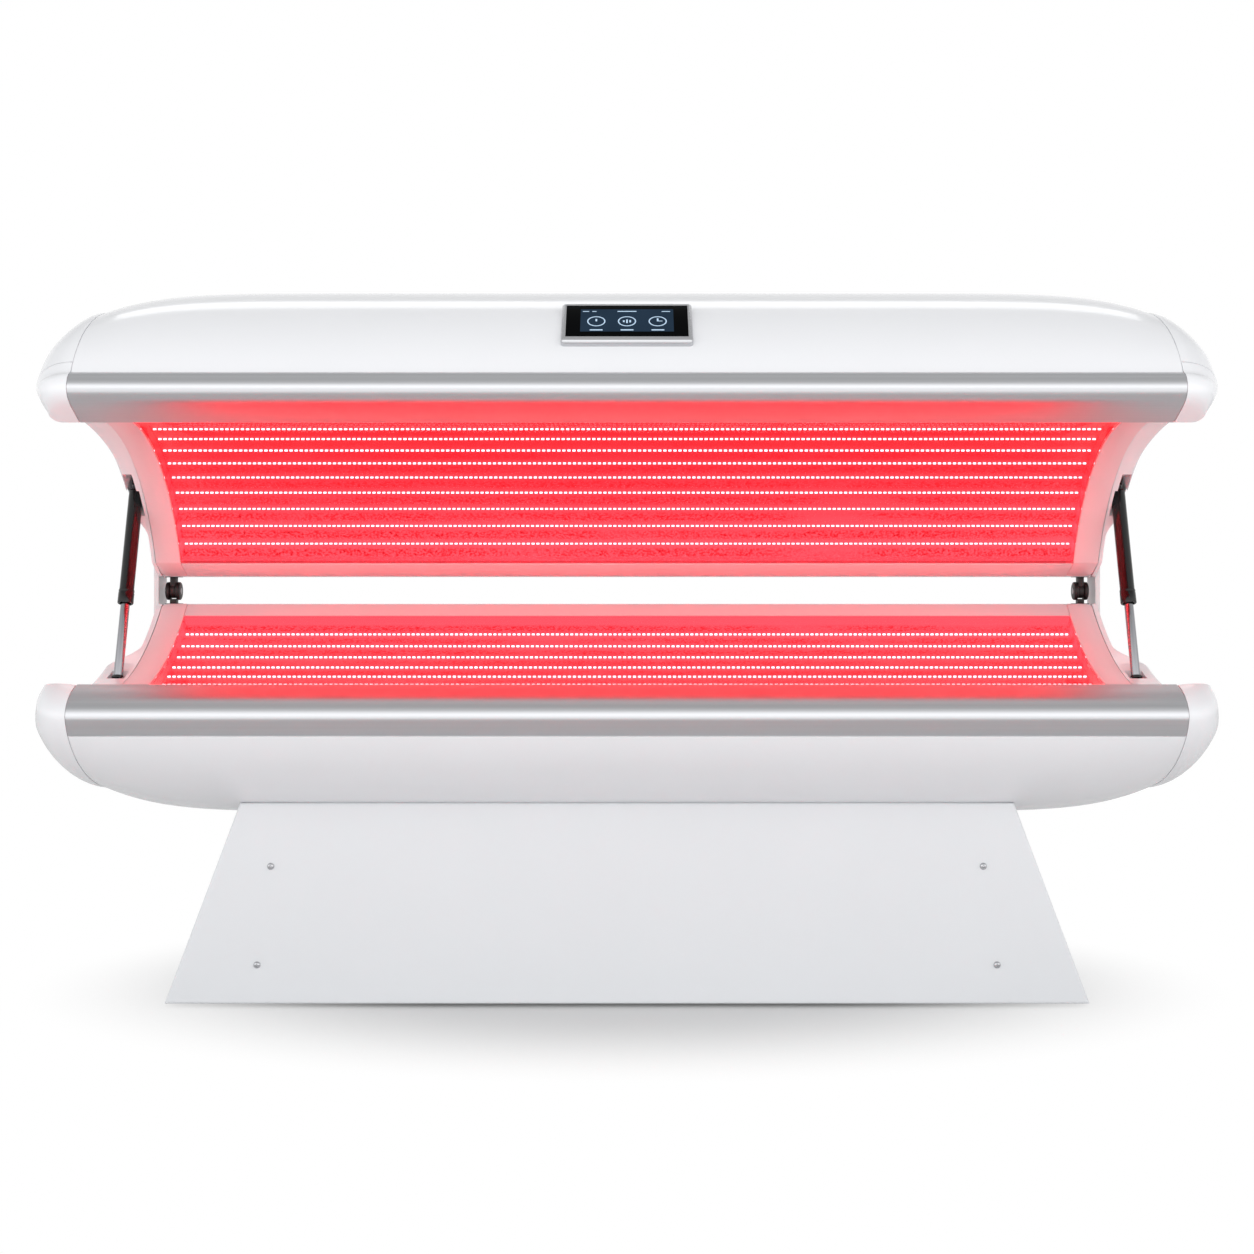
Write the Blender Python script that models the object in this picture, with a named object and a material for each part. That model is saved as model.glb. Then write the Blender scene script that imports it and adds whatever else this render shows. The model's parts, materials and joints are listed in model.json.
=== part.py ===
"""Red light therapy bed: a bed and a hinged canopy, both lined with LED rows, on a low base.

Metres, +X to the right, +Y to the back, +Z up. Each half is drawn in its own section frame
with the hinge axis as origin: u runs forward along the rim, w points away from the tunnel.
"""
import math

import bmesh
import bpy
from mathutils import Matrix, Vector

for item in list(bpy.data.objects):
    bpy.data.objects.remove(item, do_unlink=True)

# Fits
CLEAR = 0.0003
OVERCUT = 0.02
MERGE = 0.00001

# Length of the two halves
SEAM_X = 1.027
CHEEK_WIDTH = 0.056
CAP_REACH = 0.075
REAR_REACH = 0.012
CAP_RIM = 0.62
SHELL_WALL = 0.004
RAIL_WALL = 0.003

# Hinge line
HINGE_HEIGHT = 0.808
EDGE_REACH = 0.030
DECK_JOINT = 0.0065
CORNER_RADIUS = 0.025
CORNER_RISE = 0.040

# Canopy section
CANOPY_TILT = math.radians(26.0)
CANOPY_DECK = 0.032
CANOPY_ARCH_RADIUS = 0.450
CANOPY_ARCH_RISE = 0.111
CANOPY_TRIM_LAP = 0.003
CANOPY_LIP_INSET = 0.007
CANOPY_RAIL_DEPTH = 0.098
NOSE_STEP = 0.012
CANOPY_NOSE_DEPTH = 0.047
CANOPY_NOSE_HALF = 0.031
CANOPY_NOSE_POWER = 2.5
CROWN_U = 0.400
CROWN_BACK = 0.515
CROWN_RISE = 0.316
CROWN_BOW = 0.0635
CROWN_POWER = 1.8
CROWN_BACK_POWER = 2.2
CROWN_BOW_POWER = 9.5
COVER_SPLIT = 0.026

# Bed section
BED_TILT = math.radians(13.6)
BED_DECK = 0.029
BED_ARCH_RADIUS = 0.690
BED_ARCH_RISE = 0.0845
BED_LIP_INSET = 0.0447
BED_NOSE_DEPTH = 0.081
BED_NOSE_HALF = 0.0435
BED_RAIL_HEIGHT = 0.077
BELLY_U = 0.330
BELLY_BACK = 0.404
BELLY_RISE = 0.246
BELLY_BOW = 0.050
BELLY_POWER = 1.7
BELLY_BACK_POWER = 2.0
BELLY_BOW_POWER = 12.0
BELLY_GAP = 0.001

# Linings
ACRYLIC = 0.003
CHEEK_PROUD = 0.002
CHEEK_DEPTH = 0.045
FLANGE = 0.028
TRIM_WALL = 0.003
TRIM_WIDTH = 0.060
BED_TRIM_WIDTH = 0.038
PANEL_SET = 0.028
PANEL_WALL = 0.002
PANEL_GAP = 0.002
ROW_PITCH = 0.044
ROW_WIDTH = 0.014
ROW_HEIGHT = 0.003
ROWS = 13
CANOPY_FIRST_ROW = 0.021
BED_FIRST_ROW = 0.042
ARCH_START = 0.004
PANEL_START = 0.030
BED_PANEL_LAP = 0.010

# Hinges
HINGE_X = 1.008
PIN_RADIUS = 0.008
PIN_HEAD = 0.012
PIN_HEAD_HEIGHT = 0.004
LUG_WIDTH = 0.012
LUG_RADIUS = 0.016
EAR_WIDTH = 0.009
EAR_RADIUS = 0.020
EAR_GAP = 0.0005
HINGE_FOOT = 0.005
FOOT_FRONT = 0.022
FOOT_BACK = 0.040
FOOT_SIDE = 0.026
SIDE_PLATE = 0.010
SIDE_PLATE_GAP = 0.0015
SIDE_PLATE_FRONT = -0.008
SIDE_PLATE_WIDTH = 0.070
SIDE_PLATE_ROUND = 0.0315
SIDE_PLATE_TOP = 0.112
SIDE_PLATE_BOTTOM = -0.118
DOME_OFFSET = 0.032
DOME_RADIUS = 0.030
DOME_HEIGHT = 0.014

# Gas springs
STRUT_X = 1.052
UPPER_STUD = (-0.1335, 0.2385)
LOWER_STUD = (-0.281, -0.190)
TUBE_RADIUS = 0.014
TUBE_BORE = 0.012
TUBE_TOP = 0.022
TUBE_LENGTH = 0.250
TUBE_LID = 0.006
GLAND_LENGTH = 0.012
GLAND_BORE = 0.0102
COLLAR_RADIUS = 0.0152
COLLAR_LENGTH = 0.028
ROD_RADIUS = 0.007
ROD_LENGTH = 0.246
EYE_RADIUS = 0.013
EYE_WIDTH = 0.016
EYE_CLEAR = 0.0005
EYE_OVERLAP = 0.001
NECK_RADIUS = 0.005
STUD_RADIUS = 0.008
STUD_HEAD = 0.011
STUD_FLANGE = 0.014
STUD_FLANGE_WIDTH = 0.004
STUD_HEAD_WIDTH = 0.0025
SLOT_HALF = 0.0165
SLOT_WALL = 0.004
UPPER_SLOT = (0.034, 0.062, 0.095, 0.026)
LOWER_SLOT = (0.066, 0.042, 0.040, 0.026)

# Display
DISPLAY_HALF = 0.124
DISPLAY_LOW = 0.0625
DISPLAY_HIGH = 0.185
DISPLAY_PROUD = 0.014
DISPLAY_DEPTH = 0.022
GLASS_HALF = 0.115
GLASS_LOW = 0.013
GLASS_HIGH = 0.012
GLASS_SINK = 0.0015
GLASS = 0.004
LEDGE = 0.010
BOARD_MARGIN = 0.015
BOARD = 0.010
BEZEL_EDGE = 0.004
WINDOW_REACH = 0.060

# Base
BASE_FRONT = -0.505
BASE_DEPTH = 0.420
BASE_BOTTOM = 0.008
BASE_TOP = 0.3975
BASE_HALF_BOTTOM = 0.897
BASE_HALF_TOP = 0.750
BASE_SHEET = 0.002
BASE_FOLD = 0.025
BASE_EDGE = 0.005
BASE_GAP = 0.004
TRESTLE_INSET = 0.047
TRESTLE_HALF = 0.030
TRESTLE_BOTTOM = 0.014
TRESTLE_TOP = 0.450
TRESTLE_LEG = 0.050
TRESTLE_BEAM = 0.050
TRESTLE_HEAD = 0.300
FOOT_RADIUS = 0.022
FOOT_HEIGHT = 0.008
STEM_RADIUS = 0.006
FOOT_INSET = 0.060
SCREW_HIGH = (-0.013, 0.275)
SCREW_LOW = (0.0135, 0.084)
SCREW_HEAD = 0.0068
SCREW_DOME = 0.0042
SCREW_RADIUS = 0.003
SCREW_LENGTH = 0.016
SCREW_RELIEF = 0.002
SUPPLY_SIZE = (0.070, 0.220, 0.130)
SUPPLY_BOTTOM = 0.110
SUPPLY_EDGE = 0.003
FAN_X = 0.300
FAN_HEIGHT = 0.215
FAN_SIZE = 0.120
FAN_DEPTH = 0.025
FAN_BORE = 0.057
FAN_HUB = 0.020
HUB_GAP = 0.001
FAN_SHAFT = 0.005
FAN_SPIDER = 0.003
FAN_VENT = 0.053
FAN_ARM = 0.008
BLADE_COUNT = 7
BLADE_TIP = 0.054
BLADE_WALL = 0.0025
BLADE_ROOT = 0.017
BLADE_HALF = 0.0075
BLADE_PITCH = 0.6
LOUVRES = 6
LOUVRE_PITCH = 0.018
LOUVRE_HEIGHT = 0.008
INLET_X = 0.560
INLET_HEIGHT = 0.120
INLET_HALF = (0.024, 0.014)
INLET_FLANGE = 0.006
INLET_DEPTH = 0.022
INLET_WALL = 0.003

# Rear edges of the two rims, and the angle that each arch spans
CANOPY_EDGE_U = EDGE_REACH * math.cos(CANOPY_TILT) + CANOPY_DECK * math.sin(CANOPY_TILT)
CANOPY_RIM = CANOPY_DECK * math.cos(CANOPY_TILT) - EDGE_REACH * math.sin(CANOPY_TILT)
BED_EDGE_U = EDGE_REACH * math.cos(BED_TILT) + BED_DECK * math.sin(BED_TILT)
BED_RIM = BED_DECK * math.cos(BED_TILT) - EDGE_REACH * math.sin(BED_TILT)
CANOPY_ARCH_W = CANOPY_RIM + CANOPY_ARCH_RISE - CANOPY_ARCH_RADIUS
BED_ARCH_W = BED_RIM + BED_ARCH_RISE - BED_ARCH_RADIUS
CANOPY_SPAN = math.acos(1 - CANOPY_ARCH_RISE / CANOPY_ARCH_RADIUS)
BED_SPAN = math.acos(1 - BED_ARCH_RISE / BED_ARCH_RADIUS)

# Arches, lips and noses, forward from the rear edges
CANOPY_CHORD = CANOPY_ARCH_RADIUS * math.sin(CANOPY_SPAN)
CANOPY_ARCH_U = CANOPY_EDGE_U + TRIM_WIDTH + CANOPY_TRIM_LAP + CANOPY_CHORD
CANOPY_LIP_U = CANOPY_ARCH_U + CANOPY_CHORD - CANOPY_LIP_INSET
CANOPY_NOSE_U = CANOPY_LIP_U + CANOPY_RAIL_DEPTH
CROWN_FRONT = CANOPY_NOSE_U - NOSE_STEP - CROWN_U
BED_CHORD = BED_ARCH_RADIUS * math.sin(BED_SPAN)
BED_ARCH_U = BED_EDGE_U + BED_CHORD
BED_LIP_U = BED_ARCH_U + BED_CHORD - BED_LIP_INSET
TRESTLE_X = BASE_HALF_TOP - TRESTLE_INSET


def superellipse(centre, half_u, half_w, power, start, stop, steps):
    """Points of a superellipse between two angles."""
    points = []
    for i in range(steps + 1):
        angle = start + (stop - start) * i / steps
        c, s = math.cos(angle), math.sin(angle)
        points.append((centre[0] + half_u * math.copysign(abs(c) ** (2 / power), c),
                       centre[1] + half_w * math.copysign(abs(s) ** (2 / power), s)))
    return points


def spoke(centre, radius, angle):
    """A point of a circle; the angle is measured from the w axis towards the front."""
    return (centre[0] + radius * math.sin(angle), centre[1] + radius * math.cos(angle))


def arc(centre, radius, start, stop, steps):
    """Points of a circle between two angles."""
    return [spoke(centre, radius, start + (stop - start) * i / steps) for i in range(steps + 1)]


def round_corner(before, corner, after, radius, steps=3):
    """Points that round a corner between two straight edges."""
    a = (Vector(before) - Vector(corner)).normalized()
    b = (Vector(after) - Vector(corner)).normalized()
    half = a.angle(b) / 2
    middle = Vector(corner) + (a + b).normalized() * radius / math.sin(half)
    start = Vector(corner) + a * radius / math.tan(half) - middle
    stop = Vector(corner) + b * radius / math.tan(half) - middle
    turn = start.angle_signed(stop)
    points = []
    for i in range(steps + 1):
        spin = Matrix.Rotation(-turn * i / steps, 2)
        points.append(tuple(middle + spin @ start))
    return points


def offset(points, distance):
    """An open outline moved to its left by a distance."""
    moved = []
    last = len(points) - 1
    for i, point in enumerate(points):
        back = Vector(point) - Vector(points[i - 1]) if i else None
        ahead = Vector(points[i + 1]) - Vector(point) if i < last else None
        edges = [Vector((-e.y, e.x)).normalized() for e in (back, ahead) if e is not None]
        normal = sum(edges, Vector((0, 0))).normalized()
        moved.append(tuple(Vector(point) + normal * distance / normal.dot(edges[0])))
    return moved


def along(points, fraction):
    """The point at a fraction of an outline's length."""
    lengths = [(Vector(b) - Vector(a)).length for a, b in zip(points, points[1:])]
    rest = fraction * sum(lengths)
    for a, b, length in zip(points, points[1:], lengths):
        if rest <= length:
            return Vector(a).lerp(Vector(b), rest / length)
        rest -= length
    return Vector(points[-1])


def fraction_above(points, first, height):
    """The fraction of an outline's length where it rises past a height, from one of its points on."""
    lengths = [(Vector(b) - Vector(a)).length for a, b in zip(points, points[1:])]
    index = next(i for i in range(first, len(lengths)) if points[i + 1][1] > height)
    part = (height - points[index][1]) / (points[index + 1][1] - points[index][1])
    return (sum(lengths[:index]) + part * lengths[index]) / sum(lengths)


def material(name, colour, roughness, metallic=0.0):
    """A plain Principled material."""
    made = bpy.data.materials.new(name)
    made.use_nodes = True
    shader = made.node_tree.nodes["Principled BSDF"]
    shader.inputs["Base Color"].default_value = (*colour, 1.0)
    shader.inputs["Roughness"].default_value = roughness
    shader.inputs["Metallic"].default_value = metallic
    return made


def empty(name, location, turn=0.0, parent=None):
    """A frame that pieces hang on, turned about X."""
    made = bpy.data.objects.new(name, None)
    made.location = location
    made.rotation_euler = (turn, 0.0, 0.0)
    made.parent = parent
    bpy.context.scene.collection.objects.link(made)
    return made


def add_piece(name, bm, look, frame):
    """An object from a bmesh, in a frame."""
    bmesh.ops.remove_doubles(bm, verts=bm.verts, dist=MERGE)
    bmesh.ops.recalc_face_normals(bm, faces=bm.faces)
    mesh = bpy.data.meshes.new(name)
    bm.to_mesh(mesh)
    bm.free()
    made = bpy.data.objects.new(name, mesh)
    made.parent = frame
    bpy.context.scene.collection.objects.link(made)
    if look is None:
        made.hide_render = True
        made.display_type = "WIRE"
    else:
        mesh.materials.append(look)
    return made


def loft(rings):
    """A closed body through rings of points."""
    bm = bmesh.new()
    rows = [[bm.verts.new(point) for point in ring] for ring in rings]
    count = len(rows[0])
    for a, b in zip(rows, rows[1:]):
        for i in range(count):
            j = (i + 1) % count
            bm.faces.new((a[i], a[j], b[j], b[i]))
    bm.faces.new(rows[0])
    bm.faces.new(list(reversed(rows[-1])))
    return bm


def box(low, high, bevel=0.0):
    """A box between two corners, with rounded edges."""
    bm = bmesh.new()
    size = [b - a for a, b in zip(low, high)]
    middle = [(a + b) / 2 for a, b in zip(low, high)]
    bmesh.ops.create_cube(bm, size=1.0, matrix=Matrix.Translation(middle) @ Matrix.Diagonal((*size, 1)))
    if bevel:
        bmesh.ops.bevel(bm, geom=bm.edges[:], offset=bevel, segments=2, profile=0.5,
                        affect="EDGES", material=-1)
    return bm


def lathe(profile, axis, centre, segments=16):
    """A body turned from a profile of (radius, distance along the axis)."""
    bm = bmesh.new()
    axis = Vector(axis)
    side = Vector((0, 0, 1)) if abs(axis.z) < 0.9 else Vector((1, 0, 0))
    side = (side - axis * side.dot(axis)).normalized()
    verts = [bm.verts.new(Vector(centre) + axis * d + side * r) for r, d in profile]
    edges = [bm.edges.new((a, b)) for a, b in zip(verts, verts[1:])]
    if profile[0][0] and profile[-1][0]:
        edges.append(bm.edges.new((verts[-1], verts[0])))
    bmesh.ops.spin(bm, geom=verts + edges, cent=centre, axis=axis, angle=math.tau,
                   steps=segments, use_merge=True)
    return bm


def join(*parts):
    """Several meshes as one."""
    bm = bmesh.new()
    for part in parts:
        mesh = bpy.data.meshes.new("joined")
        part.to_mesh(mesh)
        part.free()
        bm.from_mesh(mesh)
        bpy.data.meshes.remove(mesh)
    return bm


def boolean(target, tool, operation="DIFFERENCE"):
    """Cut, add or keep one body with another."""
    step = target.modifiers.new(tool.name, "BOOLEAN")
    step.operation = operation
    step.solver = "EXACT"
    step.object = tool


def canopy_prism(outline, left, right):
    """A canopy outline drawn out along X."""
    return loft([[(x, -u, w) for u, w in outline] for x in (left, right)])


def bed_prism(outline, left, right):
    """A bed outline drawn out along X."""
    return loft([[(x, -u, -w) for u, w in outline] for x in (left, right)])


def yz_prism(outline, left, right):
    """An outline in Y and Z drawn out along X."""
    return loft([[(x, y, z) for y, z in outline] for x in (left, right)])


def xz_prism(outline, front, back):
    """An outline in X and Z drawn out along Y."""
    return loft([[(x, y, z) for x, z in outline] for y in (front, back)])


# Outlines of the two halves
NOSE_CENTRE = (CANOPY_NOSE_U - CANOPY_NOSE_DEPTH, CANOPY_RIM + CANOPY_NOSE_HALF)
NOSE_STOP = math.acos(((CROWN_U + CROWN_FRONT - NOSE_CENTRE[0]) / CANOPY_NOSE_DEPTH)
                      ** (CANOPY_NOSE_POWER / 2))
canopy_nose = superellipse(NOSE_CENTRE, CANOPY_NOSE_DEPTH, CANOPY_NOSE_HALF, CANOPY_NOSE_POWER,
                           -math.pi / 2, NOSE_STOP, 9)
CROWN_BASE = canopy_nose[-1][1] + CLEAR
BED_NOSE_W = BED_RIM + BED_NOSE_HALF
BELLY_FRONT = BED_LIP_U + BED_NOSE_DEPTH - BELLY_U


def deck_corner(u, edge_u, rim, tilt):
    """A point on the level rear deck of a half."""
    return (u, rim + (edge_u - u) * math.tan(tilt))


def half_outline(front, centre_u, back, base, rise, power, edge_u, rim, tilt):
    """Front curve, rear curve, rounded corner and level deck of a half."""
    corner = deck_corner(centre_u - back, edge_u, rim, tilt)
    foot = corner[1] + CORNER_RISE
    rear = superellipse((centre_u, foot), back, base + rise - foot, power, math.pi / 2, math.pi, 7)
    end = deck_corner(edge_u - DECK_JOINT, edge_u, rim, tilt)
    return front + rear[1:-1] + round_corner(rear[-1], corner, end, CORNER_RADIUS) + [end]


def crown(bow):
    """Outer outline of the canopy shell, with a rise added by the bow."""
    rise = CROWN_RISE + bow
    front = superellipse((CROWN_U, CROWN_BASE), CROWN_FRONT, rise, CROWN_POWER, 0, math.pi / 2, 8)
    return half_outline(front, CROWN_U, CROWN_BACK, CROWN_BASE, rise, CROWN_BACK_POWER,
                        CANOPY_EDGE_U, CANOPY_RIM, CANOPY_TILT)


def belly(bow, start=BED_RAIL_HEIGHT + BELLY_GAP):
    """Outer outline of the bed shell, from a height under the rim."""
    rise = BELLY_RISE + bow
    angle = math.asin(((BED_RIM + start - BED_NOSE_W) / rise) ** (BELLY_POWER / 2))
    front = superellipse((BELLY_U, BED_NOSE_W), BELLY_FRONT, rise, BELLY_POWER, angle, math.pi / 2, 8)
    return half_outline(front, BELLY_U, BELLY_BACK, BED_NOSE_W, rise, BELLY_BACK_POWER,
                        BED_EDGE_U, BED_RIM, BED_TILT)


RAIL_STOP = math.asin(((BED_RIM + BED_RAIL_HEIGHT - BED_NOSE_W) / BELLY_RISE) ** (BELLY_POWER / 2))
bed_nose = superellipse((BED_LIP_U, BED_NOSE_W), BED_NOSE_DEPTH, BED_NOSE_HALF, 2.0,
                        -math.pi / 2, 0, 6)
bed_nose += superellipse((BELLY_U, BED_NOSE_W), BELLY_FRONT, BELLY_RISE, BELLY_POWER, 0, RAIL_STOP, 3)[1:]

STATIONS = (0.0, 0.50, 0.74, 0.86, 0.93, 0.97, 1.0)
STATIONS = [-f for f in reversed(STATIONS[1:])] + list(STATIONS)


def bow_at(fraction, bow, power):
    """Height that a shell gains over its seam at a fraction of its half length."""
    return bow * (1 - abs(fraction) ** power)


def world_y(point, tilt):
    """How far behind the hinge axis a section point lies."""
    return point[1] * math.sin(tilt) - point[0] * math.cos(tilt)


# The origin is under the middle of the whole object
FRONT_Y = min(world_y(p, BED_TILT) for p in bed_nose)
REAR_Y = max(world_y(p, CANOPY_TILT) for p in crown(CROWN_BOW))
HINGE_Y = -(FRONT_Y + REAR_Y) / 2

canopy_axis = empty("canopy_axis", (0, HINGE_Y, HINGE_HEIGHT))
canopy_frame = empty("canopy_frame", (0, 0, 0), -CANOPY_TILT, canopy_axis)
bed_axis = empty("bed_axis", (0, HINGE_Y, HINGE_HEIGHT))
bed_frame = empty("bed_frame", (0, 0, 0), BED_TILT, bed_axis)
floor_frame = empty("floor_frame", (0, HINGE_Y, 0))

WHITE_SHELL = ((0.86, 0.86, 0.87), 0.22)
white_crown = material("gloss white crown", *WHITE_SHELL)
white_belly = material("gloss white belly", *WHITE_SHELL)
white_cap = material("gloss white end cap", (0.84, 0.84, 0.86), 0.25)
white_cover = material("gloss white corner cover", (0.86, 0.86, 0.87), 0.24)
white_plate = material("white side plate", (0.84, 0.83, 0.83), 0.35)
rail_metal = material("satin aluminium rail", (0.62, 0.62, 0.65), 0.34, 1.0)
cheek_white = material("white end arch", (0.85, 0.78, 0.79), 0.40)
trim_white = material("white rear trim", (0.86, 0.76, 0.78), 0.40)
clear_sheet = material("clear acrylic", (0.95, 0.62, 0.64), 0.06)
panel_red = material("lit LED panel", (0.90, 0.04, 0.06), 0.45)
bezel_silver = material("silver bezel", (0.70, 0.71, 0.73), 0.30, 0.9)
screen_black = material("black display glass", (0.012, 0.013, 0.016), 0.08)
board_green = material("control board", (0.02, 0.16, 0.08), 0.50)
hinge_black = material("black hinge steel", (0.025, 0.022, 0.022), 0.45, 0.6)
pin_steel = material("hinge pin steel", (0.45, 0.45, 0.46), 0.30, 1.0)
tube_black = material("black spring tube", (0.015, 0.015, 0.017), 0.28)
rod_chrome = material("chromed spring rod", (0.80, 0.81, 0.83), 0.10, 1.0)
stud_steel = material("bright stud", (0.62, 0.62, 0.64), 0.25, 1.0)
base_white = material("white painted base panel", (0.85, 0.85, 0.86), 0.35)
trestle_grey = material("grey painted trestle", (0.35, 0.36, 0.38), 0.50)
foot_rubber = material("black foot", (0.02, 0.02, 0.02), 0.70)
screw_steel = material("bright screw", (0.70, 0.70, 0.72), 0.25, 1.0)
supply_metal = material("power supply case", (0.55, 0.56, 0.58), 0.45, 0.8)
inlet_black = material("black mains inlet", (0.02, 0.02, 0.022), 0.50)
fan_black = material("black fan frame", (0.02, 0.02, 0.022), 0.50)
rotor_black = material("black fan rotor", (0.03, 0.03, 0.033), 0.45)
SIDES = (("left", -1), ("right", 1))

# Shells
MIDDLE = SEAM_X - CLEAR


def shell(outline_at, bow, power, sign, growth=0.0):
    """A thin shell, or with growth a solid body that stands that far outside it."""
    rings = []
    for f in STATIONS:
        outer = outline_at(bow_at(f, bow, power))
        ring = offset(outer, -growth) if growth else outer + offset(outer, SHELL_WALL)[::-1]
        x = f * (MIDDLE + (OVERCUT if growth else 0.0))
        rings.append([(x, -u, sign * w) for u, w in ring])
    return loft(rings)


canopy_shell = add_piece("canopy_shell", shell(crown, CROWN_BOW, CROWN_BOW_POWER, 1), white_crown,
                         canopy_frame)
bed_shell = add_piece("bed_shell", shell(belly, BELLY_BOW, BELLY_BOW_POWER, -1), white_belly, bed_frame)
saddle_cutter = add_piece("saddle_cutter", shell(belly, BELLY_BOW, BELLY_BOW_POWER, -1, CLEAR), None,
                          bed_frame)
gap_cutter = add_piece("gap_cutter", shell(belly, BELLY_BOW, BELLY_BOW_POWER, -1, BASE_GAP), None,
                       bed_frame)

# Front rails
canopy_rail_outer = [(CANOPY_LIP_U, CANOPY_RIM + FLANGE), (CANOPY_LIP_U, CANOPY_RIM)] + canopy_nose
canopy_rail = canopy_rail_outer + offset(canopy_rail_outer, RAIL_WALL)[::-1]
add_piece("canopy_front_rail", canopy_prism(canopy_rail, -MIDDLE, MIDDLE), rail_metal, canopy_frame)
bed_rail_outer = [(BED_LIP_U, BED_RIM + FLANGE)] + bed_nose
bed_rail = bed_rail_outer + offset(bed_rail_outer, RAIL_WALL)[::-1]
add_piece("bed_front_rail", bed_prism(bed_rail, -MIDDLE, MIDDLE), rail_metal, bed_frame)

# Linings between the end arches
CANOPY_CENTRE = (CANOPY_ARCH_U, CANOPY_ARCH_W)
BED_CENTRE = (BED_ARCH_U, BED_ARCH_W)
LINING_X = SEAM_X - CHEEK_WIDTH - CLEAR
LIP_GAP = 0.0015


def front_angle(lip_u, centre_u, radius):
    """Angle at which an arch of a radius meets the back of the front rail."""
    return math.asin((lip_u - LIP_GAP - centre_u) / radius)


def arch_band(centre, inner, outer, start, stop, steps=16):
    """A band between two radii."""
    return arc(centre, inner, start, stop, steps) + arc(centre, outer, stop, start, steps)


def led_outline(centre, radius, start, stop, first):
    """A panel with a raised board along each LED row and a rear flange that stands up to the sheet."""
    front = radius + PANEL_SET
    lip = radius + ACRYLIC + PANEL_GAP
    flange = start + PANEL_WALL / front
    points = arc(centre, front + PANEL_WALL, stop, start, 12)
    points += [spoke(centre, lip, start), spoke(centre, lip, flange), spoke(centre, front, flange)]
    for row in range(ROWS):
        middle = start + (first + row * ROW_PITCH) / front
        half = ROW_WIDTH / front / 2
        points.append(spoke(centre, front, middle - half))
        points += arc(centre, front - ROW_HEIGHT, middle - half, middle + half, 1)
        points.append(spoke(centre, front, middle + half))
    points.append(spoke(centre, front, stop))
    return points


CANOPY_REAR = -CANOPY_SPAN + ARCH_START
CANOPY_FRONT_ANGLE = front_angle(CANOPY_LIP_U, CANOPY_ARCH_U, CANOPY_ARCH_RADIUS + CHEEK_DEPTH)
BED_TRIM_ANGLE = -BED_SPAN + BED_TRIM_WIDTH / BED_ARCH_RADIUS
BED_FRONT_ANGLE = front_angle(BED_LIP_U, BED_ARCH_U, BED_ARCH_RADIUS + CHEEK_DEPTH)
sheet = arch_band(CANOPY_CENTRE, CANOPY_ARCH_RADIUS, CANOPY_ARCH_RADIUS + ACRYLIC, CANOPY_REAR,
                  front_angle(CANOPY_LIP_U, CANOPY_ARCH_U, CANOPY_ARCH_RADIUS + ACRYLIC))
add_piece("canopy_acrylic", canopy_prism(sheet, -LINING_X, LINING_X), clear_sheet, canopy_frame)
sheet = arch_band(BED_CENTRE, BED_ARCH_RADIUS, BED_ARCH_RADIUS + ACRYLIC,
                  BED_TRIM_ANGLE + CLEAR / BED_ARCH_RADIUS,
                  front_angle(BED_LIP_U, BED_ARCH_U, BED_ARCH_RADIUS + ACRYLIC))
add_piece("bed_acrylic", bed_prism(sheet, -LINING_X, LINING_X), clear_sheet, bed_frame)
panel = led_outline(CANOPY_CENTRE, CANOPY_ARCH_RADIUS, CANOPY_REAR + PANEL_START, CANOPY_FRONT_ANGLE,
                    CANOPY_FIRST_ROW)
add_piece("canopy_led_panel", canopy_prism(panel, -LINING_X, LINING_X), panel_red, canopy_frame)
panel = led_outline(BED_CENTRE, BED_ARCH_RADIUS, BED_TRIM_ANGLE - BED_PANEL_LAP, BED_FRONT_ANGLE,
                    BED_FIRST_ROW)
add_piece("bed_led_panel", bed_prism(panel, -LINING_X, LINING_X), panel_red, bed_frame)
trim = [(CANOPY_EDGE_U, CANOPY_RIM), (CANOPY_EDGE_U + TRIM_WIDTH, CANOPY_RIM),
        (CANOPY_EDGE_U + TRIM_WIDTH, CANOPY_RIM + TRIM_WALL),
        (CANOPY_EDGE_U + TRIM_WALL, CANOPY_RIM + TRIM_WALL),
        (CANOPY_EDGE_U + TRIM_WALL, CANOPY_RIM + FLANGE), (CANOPY_EDGE_U, CANOPY_RIM + FLANGE)]
add_piece("canopy_rear_trim", canopy_prism(trim, -LINING_X, LINING_X), trim_white, canopy_frame)
trim = arch_band(BED_CENTRE, BED_ARCH_RADIUS, BED_ARCH_RADIUS + TRIM_WALL, -BED_SPAN, BED_TRIM_ANGLE, 2)
add_piece("bed_rear_trim", bed_prism(trim, -LINING_X, LINING_X), trim_white, bed_frame)
canopy_cheek = [(CANOPY_EDGE_U, CANOPY_RIM)]
canopy_cheek += arch_band(CANOPY_CENTRE, CANOPY_ARCH_RADIUS - CHEEK_PROUD, CANOPY_ARCH_RADIUS + CHEEK_DEPTH,
                          CANOPY_REAR, CANOPY_FRONT_ANGLE)
canopy_cheek += [(CANOPY_EDGE_U, CANOPY_RIM + CHEEK_DEPTH)]
bed_cheek = arch_band(BED_CENTRE, BED_ARCH_RADIUS - CHEEK_PROUD, BED_ARCH_RADIUS + CHEEK_DEPTH,
                      -BED_SPAN, BED_FRONT_ANGLE)
for side, sign in SIDES:
    ends = sorted((sign * (SEAM_X - CHEEK_WIDTH), sign * MIDDLE))
    add_piece("canopy_cheek_" + side, canopy_prism(canopy_cheek, *ends), cheek_white, canopy_frame)
    add_piece("bed_cheek_" + side, bed_prism(bed_cheek, *ends), cheek_white, bed_frame)

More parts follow.
